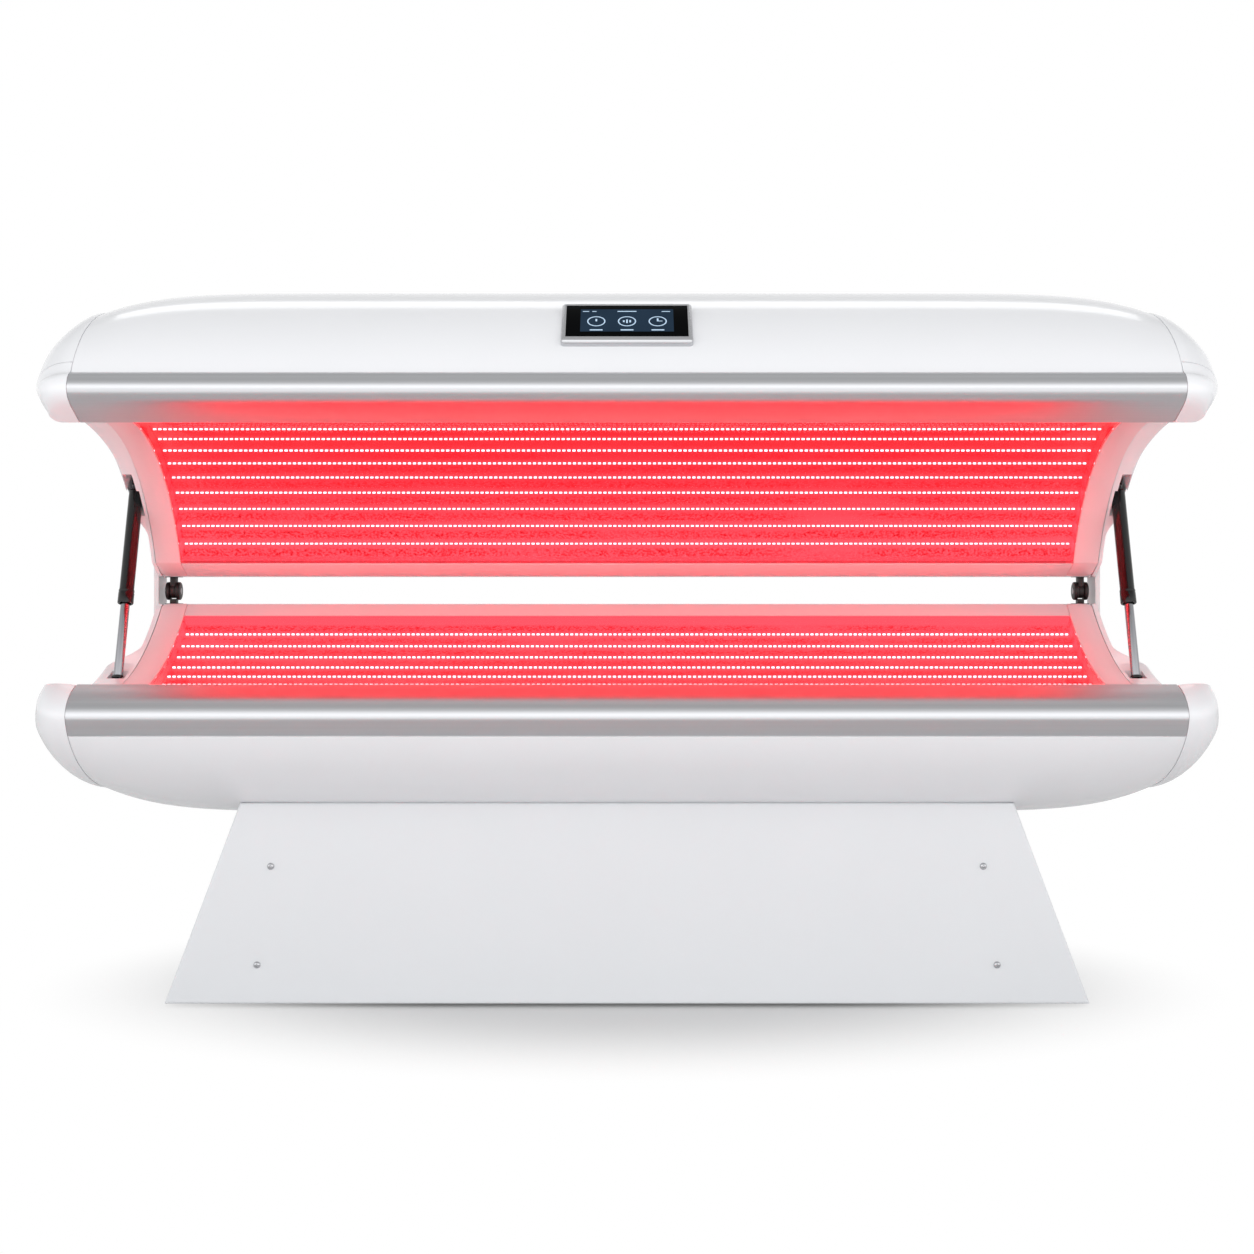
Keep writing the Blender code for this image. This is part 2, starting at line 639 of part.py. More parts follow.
# End caps: rings that run from the outer skin over the bulged end to the arch side
CAP_TOP_STEPS = 4
CAP_LOW_STEPS = 3
CAP_WALL = 0.004
CAP_RECESS = 0.004
CAP_WIDEST = 0.5
cap_section = [(math.sin(i * math.pi / 2 / CAP_TOP_STEPS),
                CAP_WIDEST * (1 - math.cos(i * math.pi / 2 / CAP_TOP_STEPS)))
               for i in range(CAP_TOP_STEPS + 1)]
cap_section += [(CAP_RIM + (1 - CAP_RIM) * math.cos(i * math.pi / 2 / CAP_LOW_STEPS),
                 CAP_WIDEST + (1 - CAP_WIDEST) * math.sin(i * math.pi / 2 / CAP_LOW_STEPS))
                for i in range(1, CAP_LOW_STEPS + 1)]
cap_section += [(0.0, 1.0)]


def reach_at(distance, narrow, wide, rear):
    """How far an end cap stands out at a distance from the hinge axis."""
    f = min(max((distance - narrow) / (wide - narrow), 0.0), 1.0)
    return rear + (CAP_REACH - rear) * f * f * (3 - 2 * f)


def cap_body(outer, inner, taper, start, stop, steps, side, flip, wall=0.0):
    """An end cap, or with a wall the hollow inside it."""
    rings = []
    for i in range(steps + 1):
        f = start + (stop - start) * i / steps
        top, low = along(outer, f), along(inner, f)
        near = wall / (top - low).length
        ring = []
        for out, share in cap_section:
            spot = top.lerp(low, near + (1 - 2 * near) * share)
            reach = reach_at(spot.length, *taper) - wall
            x = SEAM_X + reach * out - (OVERCUT if wall and out == 0.0 else 0.0)
            ring.append((side * x, -spot.x, flip * spot.y))
        rings.append(ring)
    return loft(rings)


canopy_outer = canopy_nose + crown(0.0)[:-1]
canopy_inner = [(CANOPY_LIP_U, CANOPY_RIM)]
canopy_inner += arc(CANOPY_CENTRE, CANOPY_ARCH_RADIUS + CAP_RECESS, CANOPY_FRONT_ANGLE, CANOPY_REAR, 20)
canopy_inner += [(CANOPY_EDGE_U, CANOPY_RIM)]
bed_outer = bed_nose[1:] + belly(0.0)[:-1]
bed_inner = arc(BED_CENTRE, BED_ARCH_RADIUS + CAP_RECESS, BED_FRONT_ANGLE, -BED_SPAN, 20)
CANOPY_TAPER = (0.160, 0.230, REAR_REACH)
BED_TAPER = (0.197, 0.288, REAR_REACH + SIDE_PLATE_GAP - CLEAR)
SPLIT = fraction_above(canopy_outer, len(canopy_nose), CROWN_BASE + COVER_SPLIT)
SPLIT_GAP = 0.0003
CAP_END = 0.006


def section_spot(stud, tilt, flip):
    """A stud's place in a section frame, as (u, w)."""
    y, z = stud
    return (-y * math.cos(tilt) + flip * z * math.sin(tilt), y * math.sin(tilt) + flip * z * math.cos(tilt))


def slot_outline(spot, slot, grow=0.0):
    """The pocket round a gas spring stud: behind, ahead, towards the tunnel, away from it."""
    behind, ahead, tunnel, away = (value + grow for value in slot)
    return [(spot[0] - behind, spot[1] - tunnel), (spot[0] + ahead, spot[1] - tunnel),
            (spot[0] + ahead, spot[1] + away), (spot[0] - behind, spot[1] + away)]


upper_spot = section_spot(UPPER_STUD, CANOPY_TILT, 1)
lower_spot = section_spot(LOWER_STUD, BED_TILT, -1)
for side, sign in SIDES:
    slot_ends = sorted((sign * (STRUT_X - SLOT_HALF), sign * (STRUT_X + SLOT_HALF)))
    block_ends = sorted((sign * (SEAM_X - OVERCUT * 2), sign * (STRUT_X + SLOT_HALF + SLOT_WALL)))
    upper_slot = add_piece("upper_slot_" + side,
                           canopy_prism(slot_outline(upper_spot, UPPER_SLOT), *slot_ends), None, canopy_frame)
    upper_block = add_piece("upper_block_" + side,
                            canopy_prism(slot_outline(upper_spot, UPPER_SLOT, SLOT_WALL), *block_ends),
                            None, canopy_frame)
    lower_slot = add_piece("lower_slot_" + side, bed_prism(slot_outline(lower_spot, LOWER_SLOT), *slot_ends),
                           None, bed_frame)
    lower_block = add_piece("lower_block_" + side,
                            bed_prism(slot_outline(lower_spot, LOWER_SLOT, SLOT_WALL), *block_ends),
                            None, bed_frame)
    nose_cap = add_piece("canopy_end_cap_" + side,
                         cap_body(canopy_outer, canopy_inner, CANOPY_TAPER, 0.0, SPLIT - SPLIT_GAP, 6,
                                  sign, 1), white_cap, canopy_frame)
    nose_hollow = add_piece("canopy_nose_hollow_" + side,
                            cap_body(canopy_outer, canopy_inner, CANOPY_TAPER, CAP_END, SPLIT - CAP_END, 6,
                                     sign, 1, CAP_WALL), None, canopy_frame)
    boolean(nose_cap, nose_hollow)
    cover = add_piece("canopy_corner_cover_" + side,
                      cap_body(canopy_outer, canopy_inner, CANOPY_TAPER, SPLIT + SPLIT_GAP, 1.0, 15, sign, 1),
                      white_cover, canopy_frame)
    cover_hollow = add_piece("canopy_cover_hollow_" + side,
                             cap_body(canopy_outer, canopy_inner, CANOPY_TAPER, SPLIT + CAP_END,
                                      1 - CAP_END, 15, sign, 1, CAP_WALL), None, canopy_frame)
    boolean(cover_hollow, upper_block)
    boolean(cover, cover_hollow)
    boolean(cover, upper_slot)
    bed_cap = add_piece("bed_end_cap_" + side,
                        cap_body(bed_outer, bed_inner, BED_TAPER, 0.0, 1.0, 19, sign, -1), white_cap,
                        bed_frame)
    bed_hollow = add_piece("bed_cap_hollow_" + side,
                           cap_body(bed_outer, bed_inner, BED_TAPER, CAP_END, 1 - CAP_END, 19, sign, -1,
                                    CAP_WALL), None, bed_frame)
    boolean(bed_hollow, lower_block)
    boolean(bed_cap, bed_hollow)
    boolean(bed_cap, lower_slot)

# Hinges, drawn about the hinge axis as the canopy stands open
HOLE_RADIUS = PIN_RADIUS + CLEAR
EAR_INNER = LUG_WIDTH / 2 + EAR_GAP
EAR_OUTER = EAR_INNER + EAR_WIDTH
PLATE_X = SEAM_X + REAR_REACH + SIDE_PLATE_GAP


def tongue(radius, reach):
    """A round eye with a straight neck that reaches up, or down when the reach is negative."""
    start = 0.0 if reach > 0 else math.pi
    points = [(radius * math.cos(start - i * math.pi / 12), radius * math.sin(start - i * math.pi / 12))
              for i in range(13)]
    return points + [(points[-1][0], reach), (points[0][0], reach)]


for side, sign in SIDES:
    x = sign * HINGE_X
    hole = [(0, -FOOT_SIDE), (HOLE_RADIUS, -FOOT_SIDE), (HOLE_RADIUS, FOOT_SIDE), (0, FOOT_SIDE)]
    pin_hole = add_piece("pin_hole_" + side, lathe(hole, (1, 0, 0), (x, 0, 0)), None, bed_axis)
    foot_x = sorted((sign * (HINGE_X - FOOT_SIDE), sign * (HINGE_X + EAR_OUTER)))
    lug_top = CANOPY_DECK - CLEAR
    lug = add_piece("hinge_lug_" + side,
                    yz_prism(tongue(LUG_RADIUS, lug_top - HINGE_FOOT / 2), x - LUG_WIDTH / 2,
                             x + LUG_WIDTH / 2), hinge_black, canopy_axis)
    lug_foot = add_piece("lug_foot_" + side,
                         box((foot_x[0], -FOOT_FRONT, lug_top - HINGE_FOOT), (foot_x[1], FOOT_BACK, lug_top)),
                         None, canopy_axis)
    boolean(lug, lug_foot, "UNION")
    boolean(lug, pin_hole)
    fork_low = -BED_DECK + CLEAR
    fork = add_piece("hinge_fork_" + side,
                     box((foot_x[0], -FOOT_FRONT, fork_low), (foot_x[1], FOOT_BACK, fork_low + HINGE_FOOT)),
                     hinge_black, bed_axis)
    for ear, near in (("inner", -EAR_OUTER), ("outer", EAR_INNER)):
        ear_body = add_piece("fork_" + ear + "_ear_" + side,
                             yz_prism(tongue(EAR_RADIUS, fork_low + HINGE_FOOT / 2), x + near,
                                      x + near + EAR_WIDTH), None, bed_axis)
        boolean(fork, ear_body, "UNION")
    boolean(fork, pin_hole)
    head = EAR_OUTER + CLEAR
    pin = [(0, -head - PIN_HEAD_HEIGHT), (PIN_HEAD, -head - PIN_HEAD_HEIGHT), (PIN_HEAD, -head),
           (PIN_RADIUS, -head), (PIN_RADIUS, head), (PIN_HEAD, head), (PIN_HEAD, head + PIN_HEAD_HEIGHT),
           (0, head + PIN_HEAD_HEIGHT)]
    add_piece("hinge_pin_" + side, lathe(pin, (1, 0, 0), (x, 0, 0)), pin_steel, bed_axis)
    plate_x = sorted((sign * PLATE_X, sign * (PLATE_X + SIDE_PLATE)))
    plate = box((plate_x[0], SIDE_PLATE_FRONT, SIDE_PLATE_BOTTOM),
                (plate_x[1], SIDE_PLATE_FRONT + SIDE_PLATE_WIDTH, SIDE_PLATE_TOP))
    upright = [e for e in plate.edges if abs(e.verts[0].co.x - e.verts[1].co.x) > SIDE_PLATE / 2]
    bmesh.ops.bevel(plate, geom=upright, offset=SIDE_PLATE_ROUND, segments=3, profile=0.5,
                    affect="EDGES", material=-1)
    side_plate = add_piece("hinge_side_plate_" + side, plate, white_plate, bed_axis)
    for spot, z in (("upper", SIDE_PLATE_TOP - DOME_OFFSET), ("lower", SIDE_PLATE_BOTTOM + DOME_OFFSET)):
        base_d = SIDE_PLATE / 2
        dome = [(0, base_d), (DOME_RADIUS, base_d)]
        dome += [(DOME_RADIUS * math.cos(i * math.pi / 8),
                  SIDE_PLATE + DOME_HEIGHT * math.sin(i * math.pi / 8)) for i in range(4)]
        dome += [(0, SIDE_PLATE + DOME_HEIGHT)]
        dome_spot = (sign * PLATE_X, SIDE_PLATE_FRONT + SIDE_PLATE_WIDTH / 2, z)
        dome_body = add_piece("plate_" + spot + "_dome_" + side, lathe(dome, (sign, 0, 0), dome_spot), None,
                              bed_axis)
        boolean(side_plate, dome_body, "UNION")

# Gas springs: the tube hangs from the upper stud, the rod stands on the lower stud
upper = Vector((0, *UPPER_STUD))
lower = Vector((0, *LOWER_STUD))
STRUT_LEAN = -math.atan2(upper.y - lower.y, upper.z - lower.z)
STUD_HOLE = STUD_RADIUS + CLEAR


def stud_profile(inner):
    """Flange, shank and head of a stud, outwards along X."""
    wall = STRUT_X - SLOT_HALF + CLEAR
    head_in = STRUT_X + EYE_WIDTH / 2 + EYE_CLEAR
    return [(0, wall), (STUD_FLANGE, wall), (STUD_FLANGE, wall + STUD_FLANGE_WIDTH),
            (inner, wall + STUD_FLANGE_WIDTH), (inner, head_in), (STUD_HEAD, head_in),
            (STUD_HEAD, head_in + STUD_HEAD_WIDTH), (0, head_in + STUD_HEAD_WIDTH)]


neck_end = STUD_HOLE + EYE_OVERLAP
tube_low = -(TUBE_TOP + TUBE_LENGTH)
tube_lid = -TUBE_TOP - TUBE_LID
tube_profile = [(0, tube_lid), (TUBE_BORE, tube_lid), (TUBE_BORE, tube_low + GLAND_LENGTH),
                (GLAND_BORE, tube_low + GLAND_LENGTH), (GLAND_BORE, tube_low), (COLLAR_RADIUS, tube_low),
                (COLLAR_RADIUS, tube_low + COLLAR_LENGTH), (TUBE_RADIUS, tube_low + COLLAR_LENGTH),
                (TUBE_RADIUS, -TUBE_TOP), (NECK_RADIUS, -EYE_RADIUS), (NECK_RADIUS, -neck_end),
                (0, -neck_end)]
rod_profile = [(0, neck_end), (ROD_RADIUS, neck_end), (ROD_RADIUS, ROD_LENGTH), (0, ROD_LENGTH)]
for side, sign in SIDES:
    x = sign * STRUT_X
    add_piece("strut_upper_stud_" + side, lathe(stud_profile(STUD_RADIUS), (sign, 0, 0), upper), stud_steel,
              canopy_axis)
    add_piece("strut_lower_stud_" + side, lathe(stud_profile(STUD_RADIUS), (sign, 0, 0), lower), stud_steel,
              bed_axis)
    tube_axis = empty("strut_tube_axis_" + side, upper + Vector((x, 0, 0)), STRUT_LEAN, canopy_axis)
    rod_axis = empty("strut_rod_axis_" + side, lower + Vector((x, 0, 0)), STRUT_LEAN, bed_axis)
    tube = add_piece("strut_cylinder_" + side, lathe(tube_profile, (0, 0, 1), (0, 0, 0)), tube_black,
                     tube_axis)
    rod = add_piece("strut_rod_" + side, lathe(rod_profile, (0, 0, 1), (0, 0, 0), 18), rod_chrome, rod_axis)
    for body, frame in ((tube, tube_axis), (rod, rod_axis)):
        eye = add_piece(body.name + "_eye",
                        lathe([(0, -EYE_WIDTH / 2), (EYE_RADIUS, -EYE_WIDTH / 2), (EYE_RADIUS, EYE_WIDTH / 2),
                               (0, EYE_WIDTH / 2)], (1, 0, 0), (0, 0, 0)), None, frame)
        hole = add_piece(body.name + "_hole",
                         lathe([(0, -EYE_WIDTH), (STUD_HOLE, -EYE_WIDTH), (STUD_HOLE, EYE_WIDTH),
                                (0, EYE_WIDTH)], (1, 0, 0), (0, 0, 0)), None, frame)
        boolean(body, eye, "UNION")
        boolean(body, hole)

# Display, set in a window in the front of the crown
display_rise = CROWN_RISE + CROWN_BOW


def crown_spot(height):
    """A point of the crown at a height above the front rail, in the middle of the canopy."""
    share = (1 - (height / display_rise) ** CROWN_POWER) ** (1 / CROWN_POWER)
    return Vector((CROWN_U + CROWN_FRONT * share, CROWN_BASE + height))


display_foot = crown_spot(DISPLAY_LOW)
display_head = crown_spot(DISPLAY_HIGH)
DISPLAY_LENGTH = (display_head - display_foot).length
up_slope = (display_head - display_foot).normalized()
off_slope = Vector((up_slope.y, -up_slope.x))


def display_block(half, low, high, bottom, top):
    """A block on the display's slope."""
    corners = ((low, bottom), (high, bottom), (high, top), (low, top))
    return canopy_prism([display_foot + up_slope * a + off_slope * b for a, b in corners], -half, half)


bezel_bm = display_block(DISPLAY_HALF, 0.0, DISPLAY_LENGTH, -DISPLAY_DEPTH, DISPLAY_PROUD)
bmesh.ops.bevel(bezel_bm, geom=bezel_bm.edges[:], offset=BEZEL_EDGE, segments=2, profile=0.5,
                affect="EDGES", material=-1)
bezel = add_piece("display_bezel", bezel_bm, bezel_silver, canopy_frame)
window = add_piece("display_window",
                   display_block(DISPLAY_HALF + CLEAR, -CLEAR, DISPLAY_LENGTH + CLEAR, -WINDOW_REACH,
                                 WINDOW_REACH), None,
                   canopy_frame)
boolean(canopy_shell, window)
glass_top = DISPLAY_PROUD - GLASS_SINK
glass_low = GLASS_LOW
glass_high = DISPLAY_LENGTH - GLASS_HIGH
glass_seat = glass_top - GLASS - CLEAR
recess = add_piece("glass_recess", display_block(GLASS_HALF + CLEAR, glass_low - CLEAR, glass_high + CLEAR,
                                                 glass_seat, DISPLAY_PROUD + OVERCUT), None, canopy_frame)
opening = add_piece("bezel_opening",
                    display_block(GLASS_HALF - LEDGE, glass_low + LEDGE, glass_high - LEDGE,
                                  -DISPLAY_DEPTH - OVERCUT, DISPLAY_PROUD), None, canopy_frame)
boolean(bezel, recess)
boolean(bezel, opening)
add_piece("display_screen", display_block(GLASS_HALF, glass_low, glass_high, glass_top - GLASS, glass_top),
          screen_black, canopy_frame)
board_top = glass_top - GLASS - CLEAR
add_piece("control_board",
          display_block(GLASS_HALF - BOARD_MARGIN, glass_low + BOARD_MARGIN, glass_high - BOARD_MARGIN,
                        board_top - BOARD, board_top), board_green, canopy_frame)

# Base panels
BASE_BACK = BASE_FRONT + BASE_DEPTH
SLOPE = (BASE_HALF_BOTTOM - BASE_HALF_TOP) / (BASE_TOP - BASE_BOTTOM)


def half_at(z):
    """Half width of the base at a height."""
    return BASE_HALF_BOTTOM - (z - BASE_BOTTOM) * SLOPE


def trapezoid(inset):
    """Front outline of the base, moved in by a distance."""
    low, high = BASE_BOTTOM + inset, BASE_TOP - inset
    side = inset * math.hypot(1, SLOPE)
    return [(half_at(low) - side, low), (half_at(high) - side, high),
            (side - half_at(high), high), (side - half_at(low), low)]


screw_spots = [(sign * (TRESTLE_X + spot[0]), spot[1])
               for sign in (-1, 1) for spot in (SCREW_HIGH, SCREW_LOW)]
screw_hole = SCREW_RADIUS + CLEAR
screw_end = SCREW_LENGTH + SCREW_RELIEF
screw_holes = add_piece("screw_holes", join(*[
    lathe([(0, -OVERCUT), (screw_hole, -OVERCUT), (screw_hole, screw_end), (0, screw_end)], (0, 1, 0),
          (sx, BASE_FRONT, sz), 12) for sx, sz in screw_spots]), None, floor_frame)


def folded_panel(name, face, inward):
    """A panel with its edges folded in."""
    bm = xz_prism(trapezoid(0.0), *sorted((face, face + inward * BASE_FOLD)))
    rim = [e for e in bm.edges if all(abs(v.co.y - face) < 1e-6 for v in e.verts)]
    bmesh.ops.bevel(bm, geom=rim, offset=BASE_EDGE, segments=3, profile=0.5, affect="EDGES", material=-1)
    made = add_piece(name, bm, base_white, floor_frame)
    hollow = add_piece(name + "_hollow",
                       xz_prism(trapezoid(BASE_SHEET), *sorted((face + inward * BASE_SHEET,
                                                                face + inward * (BASE_FOLD + OVERCUT)))),
                       None, floor_frame)
    boolean(made, hollow)
    boolean(made, gap_cutter)
    return made


front_panel = folded_panel("base_front_panel", BASE_FRONT, 1)
boolean(front_panel, screw_holes)
rear_panel = folded_panel("base_rear_panel", BASE_BACK, -1)
side_front = BASE_FRONT + BASE_FOLD + CLEAR
side_back = BASE_BACK - BASE_FOLD - CLEAR
sheet_x = BASE_SHEET * math.hypot(1, SLOPE)
for side, sign in SIDES:
    outline = [(half_at(BASE_BOTTOM), BASE_BOTTOM), (half_at(BASE_TOP), BASE_TOP),
               (half_at(BASE_TOP) - sheet_x, BASE_TOP), (half_at(BASE_BOTTOM) - sheet_x, BASE_BOTTOM)]
    side_panel = add_piece("base_side_panel_" + side,
                           xz_prism([(sign * px, pz) for px, pz in outline], side_front, side_back),
                           base_white, floor_frame)
    boolean(side_panel, gap_cutter)

# Trestles, feet and screws
trestle_front = BASE_FRONT + BASE_SHEET + CLEAR
trestle_back = BASE_BACK - BASE_SHEET - CLEAR
trestle_middle = (trestle_front + trestle_back) / 2
shoulder = BASE_TOP - BASE_SHEET - CLEAR
trestle_outline = [(trestle_front, TRESTLE_BOTTOM), (trestle_back, TRESTLE_BOTTOM), (trestle_back, shoulder),
                   (side_back, shoulder), (side_back, TRESTLE_TOP), (side_front, TRESTLE_TOP),
                   (side_front, shoulder), (trestle_front, shoulder)]
for side, sign in SIDES:
    ends = sorted((sign * (TRESTLE_X - TRESTLE_HALF), sign * (TRESTLE_X + TRESTLE_HALF)))
    trestle = add_piece("base_trestle_" + side, yz_prism(trestle_outline, *ends), trestle_grey, floor_frame)
    windows = []
    for near, far in ((trestle_front + TRESTLE_LEG, trestle_middle - TRESTLE_LEG / 2),
                      (trestle_middle + TRESTLE_LEG / 2, trestle_back - TRESTLE_LEG)):
        windows.append(box((ends[0] - OVERCUT, near, TRESTLE_BOTTOM + TRESTLE_BEAM),
                           (ends[1] + OVERCUT, far, TRESTLE_HEAD)))
    window_cutter = add_piece("trestle_windows_" + side, join(*windows), None, floor_frame)
    boolean(trestle, saddle_cutter)
    boolean(trestle, window_cutter)
    boolean(trestle, screw_holes)
    for end, y in (("front", trestle_front + FOOT_INSET), ("rear", trestle_back - FOOT_INSET)):
        foot = [(0, 0), (FOOT_RADIUS, 0), (FOOT_RADIUS, FOOT_HEIGHT), (STEM_RADIUS, FOOT_HEIGHT),
                (STEM_RADIUS, TRESTLE_BOTTOM - CLEAR), (0, TRESTLE_BOTTOM - CLEAR)]
        add_piece("levelling_foot_" + end + "_" + side, lathe(foot, (0, 0, 1), (sign * TRESTLE_X, y, 0)),
                  foot_rubber, floor_frame)
for index, (sx, sz) in enumerate(screw_spots):
    screw = [(0, -CLEAR - SCREW_DOME)]
    screw += [(SCREW_HEAD * math.sin(i * math.pi / 8), -CLEAR - SCREW_DOME * math.cos(i * math.pi / 8))
              for i in range(1, 5)]
    screw += [(SCREW_RADIUS, -CLEAR), (SCREW_RADIUS, SCREW_LENGTH), (0, SCREW_LENGTH)]
    add_piece("panel_screw_" + str(index + 1), lathe(screw, (0, 1, 0), (sx, BASE_FRONT, sz), 12), screw_steel,
              floor_frame)

# Power supply, on the inner side of the left trestle
supply_right = TRESTLE_HALF - TRESTLE_X + CLEAR + SUPPLY_SIZE[0]
add_piece("power_supply",
          box((TRESTLE_HALF - TRESTLE_X + CLEAR, trestle_middle - SUPPLY_SIZE[1] / 2, SUPPLY_BOTTOM),
              (supply_right, trestle_middle + SUPPLY_SIZE[1] / 2, SUPPLY_BOTTOM + SUPPLY_SIZE[2]),
              SUPPLY_EDGE),
          supply_metal, floor_frame)

# Fans and mains inlet on the rear panel
fan_back = BASE_BACK - BASE_SHEET - CLEAR
fan_front = fan_back - FAN_DEPTH
louvres = []
for side, sign in SIDES:
    centre = (sign * FAN_X, 0, FAN_HEIGHT)
    half = FAN_SIZE / 2
    frame_box = add_piece("base_fan_frame_" + side,
                          box((centre[0] - half, fan_front, FAN_HEIGHT - half),
                              (centre[0] + half, fan_back, FAN_HEIGHT + half)), fan_black, floor_frame)
    bore = add_piece("fan_bore_" + side,
                     lathe([(0, fan_front + FAN_SPIDER), (FAN_BORE, fan_front + FAN_SPIDER),
                            (FAN_BORE, fan_back + OVERCUT), (0, fan_back + OVERCUT)], (0, 1, 0), centre, 24),
                     None, floor_frame)
    boolean(frame_box, bore)
    vents = []
    for i in range(4):
        quarter = math.pi / 2 * i
        wide, narrow = FAN_ARM / FAN_VENT / 2, FAN_ARM / FAN_HUB / 2
        ring = arc((centre[0], FAN_HEIGHT), FAN_VENT, quarter + wide, quarter + math.pi / 2 - wide, 4)
        ring += arc((centre[0], FAN_HEIGHT), FAN_HUB, quarter + math.pi / 2 - narrow, quarter + narrow, 4)
        vents.append(xz_prism(ring, fan_front - OVERCUT, fan_front + FAN_SPIDER * 2))
    vent_cutter = add_piece("fan_vents_" + side, join(*vents), None, floor_frame)
    boolean(frame_box, vent_cutter)
    shaft = add_piece("fan_shaft_" + side,
                      lathe([(0, fan_front + FAN_SPIDER / 2), (FAN_SHAFT, fan_front + FAN_SPIDER / 2),
                             (FAN_SHAFT, fan_back - FAN_SPIDER), (0, fan_back - FAN_SPIDER)], (0, 1, 0),
                            centre), None, floor_frame)
    boolean(frame_box, shaft, "UNION")
    rotor_axis = empty("fan_axis_" + side, (centre[0], fan_back - FAN_DEPTH / 2, FAN_HEIGHT),
                       parent=floor_frame)
    hub_half = FAN_DEPTH / 2 - FAN_SPIDER - HUB_GAP
    hub_bore = FAN_SHAFT + CLEAR
    hub_radius = FAN_HUB - HUB_GAP
    rotor = add_piece("base_fan_rotor_" + side,
                      lathe([(hub_bore, -hub_half), (hub_radius, -hub_half), (hub_radius, hub_half),
                             (hub_bore, hub_half)], (0, 1, 0), (0, 0, 0), 21), rotor_black, rotor_axis)
    blades = []
    for i in range(BLADE_COUNT):
        blade = box((BLADE_ROOT, -BLADE_HALF, -BLADE_WALL / 2), (BLADE_TIP, BLADE_HALF, BLADE_WALL / 2))
        bmesh.ops.rotate(blade, verts=blade.verts, cent=(0, 0, 0),
                         matrix=Matrix.Rotation(BLADE_PITCH, 3, "X"))
        bmesh.ops.rotate(blade, verts=blade.verts, cent=(0, 0, 0),
                         matrix=Matrix.Rotation(math.tau * i / BLADE_COUNT, 3, "Y"))
        blades.append(blade)
    blade_body = add_piece("fan_blades_" + side, join(*blades), None, rotor_axis)
    boolean(rotor, blade_body, "UNION")
    for i in range(LOUVRES):
        z = FAN_HEIGHT + (i - (LOUVRES - 1) / 2) * LOUVRE_PITCH
        wide = math.sqrt(FAN_BORE ** 2 - (z - FAN_HEIGHT) ** 2)
        louvres.append(box((centre[0] - wide, BASE_BACK - OVERCUT, z - LOUVRE_HEIGHT / 2),
                           (centre[0] + wide, BASE_BACK + OVERCUT, z + LOUVRE_HEIGHT / 2)))
inlet_in = (INLET_HALF[0] + CLEAR, INLET_HALF[1] + CLEAR)
louvres.append(box((INLET_X - inlet_in[0], BASE_BACK - OVERCUT, INLET_HEIGHT - inlet_in[1]),
                   (INLET_X + inlet_in[0], BASE_BACK + OVERCUT, INLET_HEIGHT + inlet_in[1])))
louvre_cutter = add_piece("louvre_cutter", join(*louvres), None, floor_frame)
boolean(rear_panel, louvre_cutter)
inlet = add_piece("mains_inlet",
                  box((INLET_X - INLET_HALF[0], BASE_BACK - INLET_DEPTH, INLET_HEIGHT - INLET_HALF[1]),
                      (INLET_X + INLET_HALF[0], BASE_BACK + INLET_WALL / 2, INLET_HEIGHT + INLET_HALF[1])),
                  inlet_black, floor_frame)
flange = add_piece("inlet_flange",
                   box((INLET_X - INLET_HALF[0] - INLET_FLANGE, BASE_BACK + CLEAR,
                        INLET_HEIGHT - INLET_HALF[1] - INLET_FLANGE),
                       (INLET_X + INLET_HALF[0] + INLET_FLANGE, BASE_BACK + INLET_WALL,
                        INLET_HEIGHT + INLET_HALF[1] + INLET_FLANGE)), None, floor_frame)
socket = add_piece("inlet_socket",
                   box((INLET_X - INLET_HALF[0] + INLET_WALL, BASE_BACK - INLET_DEPTH + INLET_WALL,
                        INLET_HEIGHT - INLET_HALF[1] + INLET_WALL),
                       (INLET_X + INLET_HALF[0] - INLET_WALL, BASE_BACK + OVERCUT,
                        INLET_HEIGHT + INLET_HALF[1] - INLET_WALL)), None, floor_frame)
boolean(inlet, flange, "UNION")
boolean(inlet, socket)
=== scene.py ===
"""Red light therapy bed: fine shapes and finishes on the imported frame.

Metres, +X to the right, +Y to the back, +Z up. Each half is drawn in its own section, with the hinge
axis as origin: u runs forward along the rim, w points away from the tunnel. Turned profiles are in mm.
"""
import json
import math

import bmesh
import bpy
from bpy.props import FloatProperty, PointerProperty, StringProperty
from mathutils import Matrix, Vector


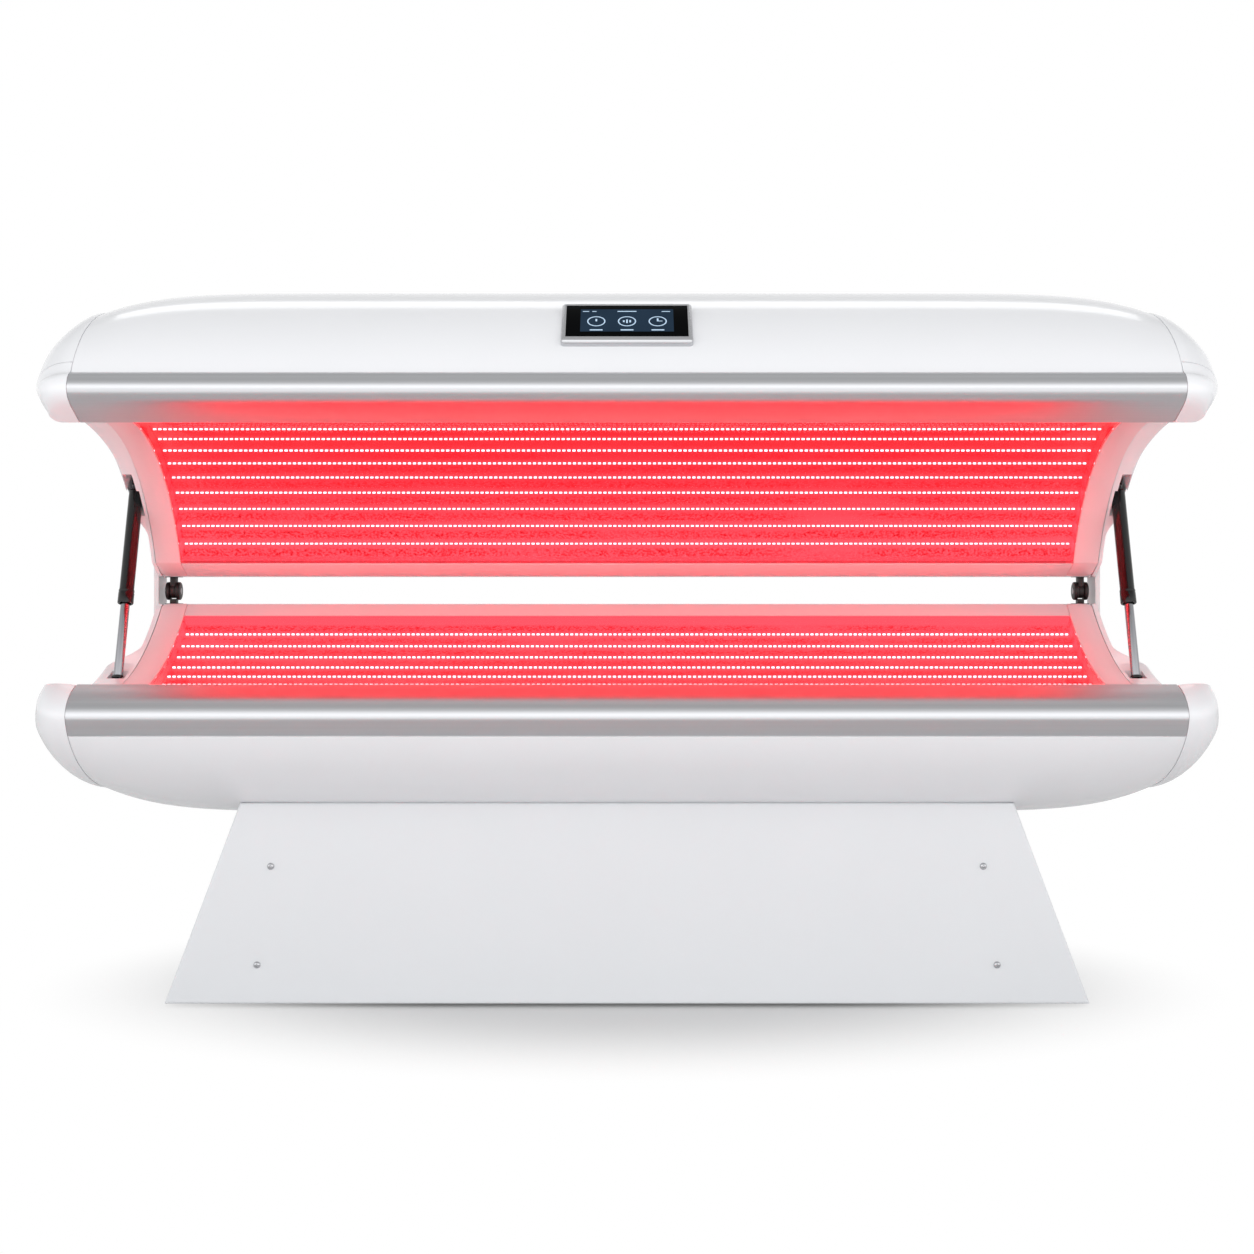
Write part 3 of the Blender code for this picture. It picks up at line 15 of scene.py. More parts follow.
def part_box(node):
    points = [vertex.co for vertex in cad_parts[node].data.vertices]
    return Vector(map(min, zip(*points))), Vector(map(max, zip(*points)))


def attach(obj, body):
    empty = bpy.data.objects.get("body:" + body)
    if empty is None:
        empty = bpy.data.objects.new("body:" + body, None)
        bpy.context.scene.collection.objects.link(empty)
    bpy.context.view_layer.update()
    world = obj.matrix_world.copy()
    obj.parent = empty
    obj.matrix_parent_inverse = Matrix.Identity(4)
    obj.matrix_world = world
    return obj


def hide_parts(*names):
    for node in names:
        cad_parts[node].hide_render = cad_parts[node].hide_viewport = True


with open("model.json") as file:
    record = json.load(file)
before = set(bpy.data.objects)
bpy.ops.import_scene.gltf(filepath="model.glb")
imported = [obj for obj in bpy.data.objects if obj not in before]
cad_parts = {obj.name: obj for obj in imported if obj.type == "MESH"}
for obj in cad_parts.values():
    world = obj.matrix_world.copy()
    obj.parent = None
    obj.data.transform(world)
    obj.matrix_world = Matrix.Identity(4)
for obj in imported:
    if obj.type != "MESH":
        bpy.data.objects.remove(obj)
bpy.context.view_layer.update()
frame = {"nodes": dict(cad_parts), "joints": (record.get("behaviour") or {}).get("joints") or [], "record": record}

bl_info = {
    "name": "Red light therapy bed",
    "version": (1, 0, 0),
    "blender": (4, 5, 0),
    "location": "View3D > Sidebar > Therapy bed",
    "description": "Dresses the therapy bed's frame with fine shapes and finishes",
    "category": "Object",
}

JOINTS = {joint["name"]: joint for joint in frame["joints"]}
NODE_SLOTS = {row["node"]: row["material_slot"] for row in frame["record"]["subparts"]}
NODE_BODIES = {node: body for body, nodes in frame["record"]["behaviour"]["bodies"].items() for node in nodes}
HINGE = Vector(JOINTS["canopy_hinge"]["pos_m"])
SIDES = (("left", -1), ("right", 1))
ACROSS = Matrix.Rotation(math.pi / 2, 4, "Y")

# Seams, gaps and walls
SEAM_X, SEAM_GROOVE, SEAM_SINK, CLEAR, SAME = 1.027, 0.0022, 0.0015, 0.0003, 1e-6
MIDDLE = SEAM_X - SEAM_GROOVE
SHELL_WALL, RAIL_WALL, FLANGE = 0.004, 0.003, 0.028
CHEEK_WIDTH, CHEEK_PROUD, CHEEK_DEPTH, CHEEK_ROUND, CHEEK_EDGE = 0.056, 0.002, 0.045, 0.016, 0.0022
ACRYLIC, TRIM_WALL, TRIM_WIDTH, BED_TRIM_WIDTH, TRIM_GAP = 0.003, 0.003, 0.060, 0.038, 0.003
TRIM_EDGE, BED_TRIM_EDGE, SHEET_TURN = 0.0012, 0.0008, 0.0005
LINING_X = SEAM_X - CHEEK_WIDTH - CLEAR

# Outlines of the two halves
EDGE_REACH, DECK_JOINT, CORNER_RADIUS, CORNER_RISE, LIP_GAP = 0.030, 0.0065, 0.025, 0.040, 0.0015
NOSE_REACH, NOSE_DEPTH, NOSE_HALF, NOSE_POWER = 0.098, 0.047, 0.031, 2.5
CROWN_U, CROWN_BACK, CROWN_RISE, CROWN_BOW, CROWN_STEP = 0.400, 0.515, 0.316, 0.0595, 0.012
CROWN_POWER, CROWN_BACK_POWER, BOW_POWER, COVER_SPLIT = 1.8, 2.2, 12.0, 0.026
BED_NOSE_DEPTH, BED_NOSE_HALF, BED_RAIL_HEIGHT = 0.081, 0.0435, 0.077
BELLY_U, BELLY_BACK, BELLY_RISE, BELLY_BOW, BELLY_GAP = 0.330, 0.404, 0.252, 0.056, 0.001
BELLY_POWER, BELLY_BACK_POWER = 1.7, 2.0

# End caps: distance from the hinge axis and how far the cap stands out there
CAP_REACH, CAP_WIDEST, CAP_RECESS, CAP_SPLIT_GAP = 0.075, 0.5, 0.004, 0.0012
CANOPY_TAPER = ((0.160, 0.0120), (0.230, 0.0490), (0.360, 0.0500), (0.560, CAP_REACH))
BED_TAPER = ((0.190, 0.0132), (0.285, CAP_REACH))
# Share of the way round the cap and the share of that reach it has there, then how far it swells upward
CANOPY_LEAD = ((0.0, 0.66), (0.09, 1.08), (0.14, 1.10), (0.24, 0.93), (0.50, 1.0))
BED_LEAD = ((0.0, 0.84), (0.06, 0.95), (0.13, 1.08), (0.40, 1.0))
CANOPY_SWELL, BED_SWELL = ((0.0, 0.0), (1.0, 0.0)), ((0.0, 0.009), (0.06, 0.0))
CANOPY_CAP_RIM, BED_CAP_RIM = 0.62, 0.80
# Pockets that the gas springs sweep
SLOT_HALF, SLOT_REACH, COVER_SLOT, BED_SLOT = 0.0178, 0.16, 0.0185, 0.0170
NOTCH_BACK, NOTCH_LOW, NOTCH_HIGH, NOTCH_OUT, NOTCH_IN = 0.12, 0.03, 0.006, 0.008, 0.0125
CUT_TRIES = 4

# LED panels
PANEL_SET, PANEL_WALL, PANEL_GAP, PANEL_END = 0.028, 0.002, 0.002, 0.001
ROW_PITCH, ROW_HEIGHT, ROWS, ROW_MARGIN, ROW_GAP = 0.044, 0.003, 13, 0.008, 0.0002

# Display, set in the front of the crown; the rise is that of the solids, which carry it
DISPLAY_HALF, DISPLAY_LOW, DISPLAY_HIGH, DISPLAY_PROUD, DISPLAY_DEPTH = 0.124, 0.0625, 0.185, 0.014, 0.022
DISPLAY_RISE, DISPLAY_HOLE, DISPLAY_CUT = 0.3795, 0.009, 0.06
GLASS_HALF, GLASS_LOW, GLASS_HIGH, GLASS_SINK, GLASS = 0.115, 0.013, 0.012, 0.0015, 0.004
LCD_HALF, LCD_SHARE, LCD_RAISE, LCD_THICK, MARK_THICK = 0.088, 0.36, 0.004, 0.0004, 0.0003
BEZEL_ROUND, BEZEL_CUT, GLASS_EDGE = 0.0075, 0.03, 0.0008


class Half:
    """Section of the canopy or the bed: an arch between the rear edge, at the hinge, and the front lip."""

    def __init__(self, name, sign, tilt, deck, radius, rise, strip, lip_step, rear_turn):
        self.name, self.sign, self.tilt, self.radius = name, sign, math.radians(tilt), radius
        self.place = Matrix.Translation(HINGE) @ Matrix.Rotation(-sign * self.tilt, 4, "X")
        self.edge = EDGE_REACH * math.cos(self.tilt) + deck * math.sin(self.tilt)
        self.rim = deck * math.cos(self.tilt) - EDGE_REACH * math.sin(self.tilt)
        span = math.acos(1 - rise / radius)
        chord = radius * math.sin(span)
        self.centre = (self.edge + strip + chord, self.rim + rise - radius)
        self.lip = self.centre[0] + chord - lip_step
        self.rear, self.front = rear_turn - span, self.turn(CHEEK_DEPTH)

    def turn(self, out):
        """Angle at which an arch that lies further out meets the front lip."""
        return math.asin((self.lip - LIP_GAP - self.centre[0]) / (self.radius + out))

    def arc(self, out, start, stop, steps=48):
        """Points of an arch that lies further out; angles run from the w axis towards the front."""
        turns = [start + (stop - start) * i / steps for i in range(steps + 1)]
        return [(self.centre[0] + (self.radius + out) * math.sin(turn),
                 self.centre[1] + (self.radius + out) * math.cos(turn)) for turn in turns]

    def band(self, inner, outer, start, stop, steps=48):
        """Outline of a strip between two arches."""
        return self.arc(inner, start, stop, steps) + self.arc(outer, stop, start, steps)

    def section(self, points):
        """Section points as Y and Z."""
        return [(-u, self.sign * w) for u, w in points]

    def placed(self, bm):
        """A body moved from the section to its place in the frame."""
        bm.transform(self.place)
        return bm

    def lining(self, points, bevel=0.0):
        """An outline drawn out along X between the end arches."""
        return self.placed(prism(self.section(points), -LINING_X, LINING_X, bevel))


canopy = Half("canopy", 1, tilt=26.0, deck=0.032, radius=0.450, rise=0.111, strip=TRIM_WIDTH + TRIM_GAP,
              lip_step=0.007, rear_turn=0.004)
bed = Half("bed", -1, tilt=13.6, deck=0.029, radius=0.690, rise=0.0845, strip=0.0,
           lip_step=0.0447, rear_turn=0.0)
NOSE_U = canopy.lip + NOSE_REACH
CROWN_FRONT = NOSE_U - CROWN_STEP - CROWN_U
BED_TRIM_ANGLE = BED_TRIM_WIDTH / bed.radius + bed.rear
# Half, angle that the LED rows count from, angle of the panel's rear edge, distance to the first row
PANELS = ((canopy, canopy.rear + 0.03, canopy.rear + 0.004, 0.021),
          (bed, BED_TRIM_ANGLE - 0.01, BED_TRIM_ANGLE - 0.01, 0.042))


def hue(name, description, default):
    """A colour setting."""
    return StringProperty(name=name, description=description, default=default)


def length(name, description, default):
    """A size setting."""
    return FloatProperty(name=name, description=description, default=default, unit="LENGTH")


class BedFinish(bpy.types.PropertyGroup):
    """Colours of the finishes."""
    shell: hue("Shell", "Gloss white of the shells", "#E6E7EA")
    base: hue("Base", "White of the base panels", "#DEE0E3")
    # The lining's pink is painted red glow from the panels; the plastic itself is white
    lining: hue("Lining", "Pink-white of the arches and trims", "#E2C6C9")
    rail: hue("Rail", "Satin aluminium", "#CBCCCF")
    deep_red: hue("Deep red", "Panel light at the front", "#EC0010")
    pale_red: hue("Pale red", "Panel light at the rear", "#F84855")
    dash: hue("LED", "Light of one LED", "#FF6166")
    screen: hue("Screen", "Lit part of the display", "#27384A")


class BedSizes(bpy.types.PropertyGroup):
    """Sizes of the fine parts."""
    dash_pitch: length("LED pitch", "From LED to LED along a row", 0.0105)
    dash_length: length("LED length", "Length of one LED along its row", 0.0063)
    dash_width: length("LED width", "Width of one LED", 0.0023)
    glow: FloatProperty(name="Glow", description="Strength of the panels' light", default=1.6)


def finish_colour(name):
    """A colour of the finish group as linear light."""
    return linear(getattr(bpy.context.scene.bed_finish, name))


def linear(text):
    """An sRGB hex colour as linear light."""
    values = [int(text[i:i + 2], 16) / 255 for i in (1, 3, 5)]
    return (*[c / 12.92 if c <= 0.04045 else ((c + 0.055) / 1.055) ** 2.4 for c in values], 1.0)


def feed(node, inputs):
    """Set a node's inputs; each one is a value or another node's output."""
    for key, value in inputs.items():
        if isinstance(value, bpy.types.NodeSocket):
            node.id_data.links.new(value, node.inputs[key])
        else:
            node.inputs[key].default_value = value


def add(tree, kind, inputs=None, **settings):
    """A shader node with its settings and inputs."""
    made = tree.nodes.new("ShaderNode" + kind)
    for key, value in settings.items():
        setattr(made, key, value)
    feed(made, inputs or {})
    return made


def surface(name, **sockets):
    """A new material with its tree, its shader and its object coordinates."""
    made = bpy.data.materials.new(name)
    made.use_nodes = True
    tree = made.node_tree
    shader = tree.nodes["Principled BSDF"]
    feed(shader, {key.replace("_", " "): value for key, value in sockets.items()})
    return made, tree, shader, add(tree, "TexCoord").outputs["Object"]


def ranged(tree, value, low=0.0, high=1.0, start=0.0, stop=1.0, curve="LINEAR"):
    """A value whose way from start to stop is spread over a range."""
    return add(tree, "MapRange", {"Value": value, "From Min": start, "From Max": stop, "To Min": low,
                                  "To Max": high}, interpolation_type=curve).outputs["Result"]


def maths(tree, operation, first, second):
    """Two values put together."""
    return add(tree, "Math", {0: first, 1: second}, operation=operation).outputs[0]


def mixed(tree, factor, first, second):
    """A value that goes from one to another."""
    return add(tree, "Mix", {"Factor": factor, 2: first, 3: second}).outputs[0]


def blend(tree, factor, first, second):
    """A colour that goes from one to another."""
    return add(tree, "Mix", {"Factor": factor, 6: first, 7: second}, data_type="RGBA").outputs[2]


def axis(tree, vector, name):
    """One coordinate of a vector."""
    return add(tree, "SeparateXYZ", {"Vector": vector}).outputs[name]


def grain(tree, coords, size, detail=3.0, stretch=(1, 1, 1)):
    """Noise whose spots have a size in metres, drawn out along some axes."""
    placed = add(tree, "Mapping", {"Vector": coords, "Scale": stretch}).outputs["Vector"]
    return add(tree, "TexNoise", {"Vector": placed, "Scale": 1 / size, "Detail": detail}).outputs["Fac"]


def tinted(tree, colour, fac, share):
    """A colour that a pattern makes darker by a share."""
    return blend(tree, fac, [c * (1 - share) for c in colour[:3]] + [1.0], colour)


def bumped(tree, shader, height, depth, strength):
    """Relief of a depth in metres on a shader."""
    bump = add(tree, "Bump", {"Height": height, "Distance": depth, "Strength": strength})
    feed(shader, {"Normal": bump.outputs["Normal"]})


def coated(name, colour, rough, spread, peel, depth, mottle=0.03, **sockets):
    """A moulded or painted skin: 0.22 m mottle in its colour, gloss that wanders, and a fine orange peel."""
    made, tree, shader, coords = surface(name, **sockets)
    feed(shader, {"Base Color": tinted(tree, colour, grain(tree, coords, 0.22), mottle),
                  "Roughness": ranged(tree, grain(tree, coords, 0.05), rough, rough + spread)})
    bumped(tree, shader, grain(tree, coords, peel, 2.0), depth, 0.5)
    return made


def drawn_metal(name, colour, rough, spread, line, depth, stretch, **sockets):
    """A drawn, turned or brushed metal: fine lines along its working direction."""
    made, tree, shader, coords = surface(name, Metallic=1.0, **sockets)
    lines = grain(tree, coords, line, 4.0, stretch)
    feed(shader, {"Base Color": tinted(tree, colour, lines, 0.10),
                  "Roughness": ranged(tree, lines, rough, rough + spread)})
    bumped(tree, shader, lines, depth, 0.4)
    return made


def superellipse(centre, half_u, half_w, power, start, stop, steps):
    """Points of a superellipse between two angles."""
    points = []
    for i in range(steps + 1):
        angle = start + (stop - start) * i / steps
        c, s = math.cos(angle), math.sin(angle)
        points.append((centre[0] + half_u * math.copysign(abs(c) ** (2 / power), c),
                       centre[1] + half_w * math.copysign(abs(s) ** (2 / power), s)))
    return points


def round_corner(before, corner, after, radius, steps=8):
    """Points that round a corner between two straight edges."""
    a = (Vector(before) - Vector(corner)).normalized()
    b = (Vector(after) - Vector(corner)).normalized()
    half = a.angle(b) / 2
    middle = Vector(corner) + (a + b).normalized() * radius / math.sin(half)
    start = Vector(corner) + a * radius / math.tan(half) - middle
    stop = Vector(corner) + b * radius / math.tan(half) - middle
    turn = start.angle_signed(stop)
    return [tuple(middle + Matrix.Rotation(-turn * i / steps, 2) @ start) for i in range(steps + 1)]


def offset(points, distance):
    """An open outline moved to its left by a distance."""
    moved = []
    last = len(points) - 1
    for i, point in enumerate(points):
        back = Vector(point) - Vector(points[i - 1]) if i else None
        ahead = Vector(points[i + 1]) - Vector(point) if i < last else None
        edges = [Vector((-e.y, e.x)).normalized() for e in (back, ahead) if e is not None]
        normal = sum(edges, Vector((0, 0))).normalized()
        moved.append(tuple(Vector(point) + normal * distance / normal.dot(edges[0])))
    return moved


def steps_of(points):
    """Lengths of an outline's edges."""
    return [(Vector(b) - Vector(a)).length for a, b in zip(points, points[1:])]


def along(points, fraction):
    """The point at a fraction of an outline's length."""
    lengths = steps_of(points)
    rest = fraction * sum(lengths)
    for a, b, step in zip(points, points[1:], lengths):
        if rest <= step:
            return Vector(a).lerp(Vector(b), rest / step)
        rest -= step
    return Vector(points[-1])


NOSE_CENTRE = (NOSE_U - NOSE_DEPTH, canopy.rim + NOSE_HALF)
NOSE_STOP = math.acos(((CROWN_U + CROWN_FRONT - NOSE_CENTRE[0]) / NOSE_DEPTH) ** (NOSE_POWER / 2))
canopy_nose = superellipse(NOSE_CENTRE, NOSE_DEPTH, NOSE_HALF, NOSE_POWER, -math.pi / 2, NOSE_STOP, 40)
CROWN_BASE = canopy_nose[-1][1] + CLEAR
BED_NOSE_W = bed.rim + BED_NOSE_HALF
BELLY_FRONT = bed.lip + BED_NOSE_DEPTH - BELLY_U
RAIL_STOP = math.asin(((bed.rim + BED_RAIL_HEIGHT - BED_NOSE_W) / BELLY_RISE) ** (BELLY_POWER / 2))
bed_nose = superellipse((bed.lip, BED_NOSE_W), BED_NOSE_DEPTH, BED_NOSE_HALF, 2.0, -math.pi / 2, 0, 32)
bed_nose += superellipse((BELLY_U, BED_NOSE_W), BELLY_FRONT, BELLY_RISE, BELLY_POWER, 0, RAIL_STOP, 12)[1:]


def half_outline(half, front, centre_u, back, top, power):
    """Front curve, rear curve, rounded corner and level deck of a half."""
    deck = math.tan(half.tilt)
    corner = (centre_u - back, half.rim + (half.edge - centre_u + back) * deck)
    end = (half.edge - DECK_JOINT, half.rim + DECK_JOINT * deck)
    foot = corner[1] + CORNER_RISE
    rear = superellipse((centre_u, foot), back, top - foot, power, math.pi / 2, math.pi, 36)
    return front + rear[1:-1] + round_corner(rear[-1], corner, end, CORNER_RADIUS) + [end]


def crown(bow):
    """Outer outline of the canopy shell, with a rise added by the bow."""
    rise = CROWN_RISE + bow
    front = superellipse((CROWN_U, CROWN_BASE), CROWN_FRONT, rise, CROWN_POWER, 0, math.pi / 2, 40)
    return half_outline(canopy, front, CROWN_U, CROWN_BACK, CROWN_BASE + rise, CROWN_BACK_POWER)


def belly(bow):
    """Outer outline of the bed shell, from under the front rail."""
    rise = BELLY_RISE + bow
    angle = math.asin(((bed.rim + BED_RAIL_HEIGHT + BELLY_GAP - BED_NOSE_W) / rise) ** (BELLY_POWER / 2))
    front = superellipse((BELLY_U, BED_NOSE_W), BELLY_FRONT, rise, BELLY_POWER, angle, math.pi / 2, 40)
    return half_outline(bed, front, BELLY_U, BELLY_BACK, BED_NOSE_W + rise, BELLY_BACK_POWER)


def new_verts(geometry):
    """The vertices among what an operation made."""
    return [item for item in geometry if isinstance(item, bmesh.types.BMVert)]


def skin(outlines):
    """A closed body drawn through outlines that have the same number of points."""
    bm = bmesh.new()
    row = [bm.verts.new(point) for point in outlines[0]]
    edges = [bm.edges.new(pair) for pair in zip(row, row[1:] + row[:1])]
    first = list(edges)
    for outline in outlines[1:]:
        grown = bmesh.ops.extrude_edge_only(bm, edges=edges)["geom"]
        fresh = set(new_verts(grown))
        row = [next(e.other_vert(v) for e in v.link_edges if e.other_vert(v) in fresh) for v in row]
        for vert, point in zip(row, outline):
            vert.co = point
        edges = [e for e in grown if isinstance(e, bmesh.types.BMEdge) and fresh.issuperset(e.verts)]
    bmesh.ops.edgeloop_fill(bm, edges=first)
    bmesh.ops.edgeloop_fill(bm, edges=edges)
    bmesh.ops.recalc_face_normals(bm, faces=bm.faces)
    return bm


def lipped(half, stations, wall):
    """A wall drawn through outlines at places along X, with a sunk lip at each end under the seam groove."""
    sunk = [(x, offset(outer, SEAM_SINK)) for x, outer in (stations[0], stations[-1])]
    ends = [[(math.copysign(SEAM_X - CLEAR, x), outer), (x, outer)] for x, outer in sunk]
    rings = []
    for x, outer in ends[0] + stations + ends[1][::-1]:
        inner = offset(stations[0][1] if (x, outer) in ends[0] + ends[1] else outer, wall)
        rings.append([(x, y, z) for y, z in half.section(outer + inner[::-1])])
    bm = skin(rings)
    bmesh.ops.remove_doubles(bm, verts=bm.verts, dist=SAME)
    return half.placed(bm)


def soften(bm, width, segments=2, least=0.6):
    """Round a body's sharp edges."""
    sharp = [e for e in bm.edges if len(e.link_faces) == 2 and e.calc_face_angle(0.0) > least]
    bmesh.ops.bevel(bm, geom=sharp, offset=width, segments=segments, profile=0.5, affect="EDGES",
                    material=-1, clamp_overlap=True)
    return bm


def prism(points, left, right, bevel=0.0):
    """An outline in Y and Z drawn out along X."""
    bm = bmesh.new()
    face = bm.faces.new([bm.verts.new((left, a, b)) for a, b in points])
    grown = bmesh.ops.extrude_face_region(bm, geom=[face])["geom"]
    bmesh.ops.translate(bm, verts=new_verts(grown), vec=(right - left, 0, 0))
    bmesh.ops.recalc_face_normals(bm, faces=bm.faces)
    return soften(bm, bevel) if bevel else bm


def block(half_x, low_y, high_y, low_z, high_z, bevel=0.0):
    """A box that reaches as far to the left as to the right."""
    return prism([(low_y, low_z), (high_y, low_z), (high_y, high_z), (low_y, high_z)], -half_x, half_x, bevel)


def mirrored(profile):
    """A profile made whole by its mirror image above height 0."""
    return profile + [(r, -z) for r, z in profile[::-1]]


def turned(profile, place, steps=48):
    """A body turned about Z from (radius, height) in mm, then put in its place."""
    bm = bmesh.new()
    verts = [bm.verts.new((r / 1000, 0, z / 1000)) for r, z in profile]
    edges = [bm.edges.new((a, b)) for a, b in zip(verts, verts[1:]) if a.co.x or b.co.x]
    if profile[0][0] and profile[-1][0]:
        edges.append(bm.edges.new((verts[-1], verts[0])))
    bmesh.ops.spin(bm, geom=verts + edges, cent=(0, 0, 0), axis=(0, 0, 1), angle=math.tau, steps=steps,
                   use_merge=True)
    bmesh.ops.remove_doubles(bm, verts=bm.verts, dist=SAME)
    bmesh.ops.recalc_face_normals(bm, faces=bm.faces)
    bm.transform(place)
    return bm


def joined(*parts):
    """Several meshes as one."""
    bm = bmesh.new()
    for part in parts:
        mesh = bpy.data.meshes.new("joined")
        part.to_mesh(mesh)
        part.free()
        bm.from_mesh(mesh)
        bpy.data.meshes.remove(mesh)
    return bm


def in_triangles(mesh):
    """Split a mesh's faces into triangles."""
    bm = bmesh.new()
    bm.from_mesh(mesh)
    bmesh.ops.triangulate(bm, faces=bm.faces)
    bm.to_mesh(mesh)
    bm.free()


def carve(piece, bm):
    """Cut a body out of a piece for good."""
    in_triangles(piece.data)
    mesh = bpy.data.meshes.new("carver")
    bm.to_mesh(mesh)
    bm.free()
    tool = bpy.data.objects.new("carver", mesh)
    bpy.context.scene.collection.objects.link(tool)
    step = piece.modifiers.new("carve", "BOOLEAN")
    step.solver = "EXACT"
    step.object = tool
    # A cut that took nothing away is made again
    for _ in range(CUT_TRIES):
        piece.update_tag()
        bpy.context.view_layer.update()
        graph = bpy.context.evaluated_depsgraph_get()
        cut = bpy.data.meshes.new_from_object(piece.evaluated_get(graph))
        if len(cut.vertices) != len(piece.data.vertices):
            break
    piece.modifiers.clear()
    in_triangles(cut)
    piece.data = cut
    bpy.data.objects.remove(tool)
    smooth(piece)


def smooth(piece, angle=32.0):
    """Shade a piece smooth, apart from its sharp edges."""
    piece.data.shade_smooth()
    piece.data.set_sharp_from_angle(angle=math.radians(angle))


def dress(name, bm, look, *nodes, body=None, slot=None):
    """A finished piece that stands for CAD nodes, or rides with a body."""
    mesh = bpy.data.meshes.new(name)
    bm.to_mesh(mesh)
    bm.free()
    mesh.materials.append(look)
    piece = bpy.data.objects.new(name, mesh)
    bpy.context.scene.collection.objects.link(piece)
    smooth(piece)
    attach(piece, body or NODE_BODIES[nodes[0]])
    if nodes:
        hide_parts(*nodes)
    return piece


def refined(node, look, bevel=0.0):
    """A CAD node's own shape with its triangles merged, flat faces joined and sharp edges broken."""
    bm = bmesh.new()
    bm.from_mesh(frame["nodes"][node].data)
    bmesh.ops.remove_doubles(bm, verts=bm.verts, dist=1e-5)
    bmesh.ops.dissolve_limit(bm, angle_limit=math.radians(1.0), verts=bm.verts, edges=bm.edges)
    if bevel:
        soften(bm, bevel)
    return dress(node + "_fine", bm, look, node)


def paint(node, look):
    """A CAD node that keeps its shape and gets a finish."""
    slots = frame["nodes"][node].data.materials
    slots.clear()
    slots.append(look)


class BED_OT_shells(bpy.types.Operator):
    """Crown and belly: gloss white moulded shells that bow towards their middle."""
    bl_idname = "therapy_bed.shells"
    bl_label = "Shells"

    def execute(self, context):
        # Gel-coated moulding: high gloss, a faint orange peel about 9 mm across
        white = coated("gloss white gel coat, moulded", finish_colour("shell"), 0.16, 0.06, 0.009, 0.00004,
                       Coat_Weight=0.35, Coat_Roughness=0.06)
        stations = [math.sin(i * math.pi / 2 / 28) for i in range(-28, 29)]
        for name, half, outline, bow in (("crown", canopy, crown, CROWN_BOW), ("belly", bed, belly, BELLY_BOW)):
            rings = [(f * MIDDLE, outline(bow * (1 - abs(f) ** BOW_POWER))) for f in stations]
            piece = dress(name, lipped(half, rings, SHELL_WALL), white, half.name + "_shell")
            if half is canopy:
                carve(piece, display_block(DISPLAY_HALF - DISPLAY_HOLE, DISPLAY_HOLE,
                                           DISPLAY_LENGTH - DISPLAY_HOLE, -DISPLAY_CUT, DISPLAY_CUT))
        return {"FINISHED"}


class BED_OT_rails(bpy.types.Operator):
    """Front rails: extruded aluminium, anodised satin."""
    bl_idname = "therapy_bed.rails"
    bl_label = "Front rails"

    def execute(self, context):
        # Satin anodised extrusion: long soft bands of light, with die lines along X about 3 mm apart
        metal = drawn_metal("satin anodised aluminium, extruded", finish_colour("rail"), 0.27, 0.06, 0.003,
                            0.00001, (0.004, 1, 1))
        # The polish stops at the front: the sides towards the tunnel are duller
        tree = metal.node_tree
        shader = tree.nodes["Principled BSDF"]
        dull = ranged(tree, axis(tree, add(tree, "TexCoord").outputs["Object"], "Y"), 0.0, 0.22, -0.425, -0.37)
        polish = shader.inputs["Roughness"].links[0].from_socket
        feed(shader, {"Roughness": maths(tree, "ADD", polish, dull)})
        lip = [(canopy.lip, canopy.rim + FLANGE), (canopy.lip, canopy.rim)]
        for half, outer in ((canopy, lip + canopy_nose), (bed, [(bed.lip, bed.rim + FLANGE)] + bed_nose)):
            bm = lipped(half, [(-MIDDLE, outer), (MIDDLE, outer)], RAIL_WALL)
            dress(half.name + "_rail", bm, metal, half.name + "_front_rail")
        return {"FINISHED"}


def eased(points, index, reach=7, rounds=8):
    """An outline whose kink at a point is rounded off."""
    eased_points = [Vector(point) for point in points]
    window = range(index - reach, index + reach)
    for _ in range(rounds):
        fresh = [(eased_points[i - 1] + 2 * eased_points[i] + eased_points[i + 1]) / 4 for i in window]
        eased_points[window.start:window.stop] = fresh
    return [tuple(point) for point in eased_points]


canopy_outer = eased(canopy_nose + crown(0.0)[:-1], len(canopy_nose))
canopy_inner = [(canopy.lip, canopy.rim)] + canopy.arc(CAP_RECESS, canopy.front, canopy.rear)
canopy_inner += [(canopy.edge, canopy.rim)]
CANOPY_CAP = (canopy, canopy_outer, canopy_inner, CANOPY_TAPER, CANOPY_LEAD, CANOPY_SWELL, CANOPY_CAP_RIM)
BED_CAP = (bed, bed_nose[1:] + belly(0.0)[:-1], bed.arc(0.0, bed.front, bed.rear), BED_TAPER, BED_LEAD,
           BED_SWELL, BED_CAP_RIM)


def split_share():
    """The share of the canopy's outer outline that the nose cap covers."""
    lengths = steps_of(canopy_outer)
    height = CROWN_BASE + COVER_SPLIT
    index = next(i for i in range(len(canopy_nose), len(lengths)) if canopy_outer[i + 1][1] > height)
    part = (height - canopy_outer[index][1]) / (canopy_outer[index + 1][1] - canopy_outer[index][1])
    return (sum(lengths[:index]) + part * lengths[index]) / sum(lengths)


def reach_at(distance, taper):
    """The value of a table of (distance, value) at a distance, with smooth steps."""
    for (near, low), (wide, high) in zip(taper, taper[1:]):
        if distance < wide:
            f = max((distance - near) / (wide - near), 0.0)
            return low + (high - low) * f * f * (3 - 2 * f)
    return taper[-1][1]


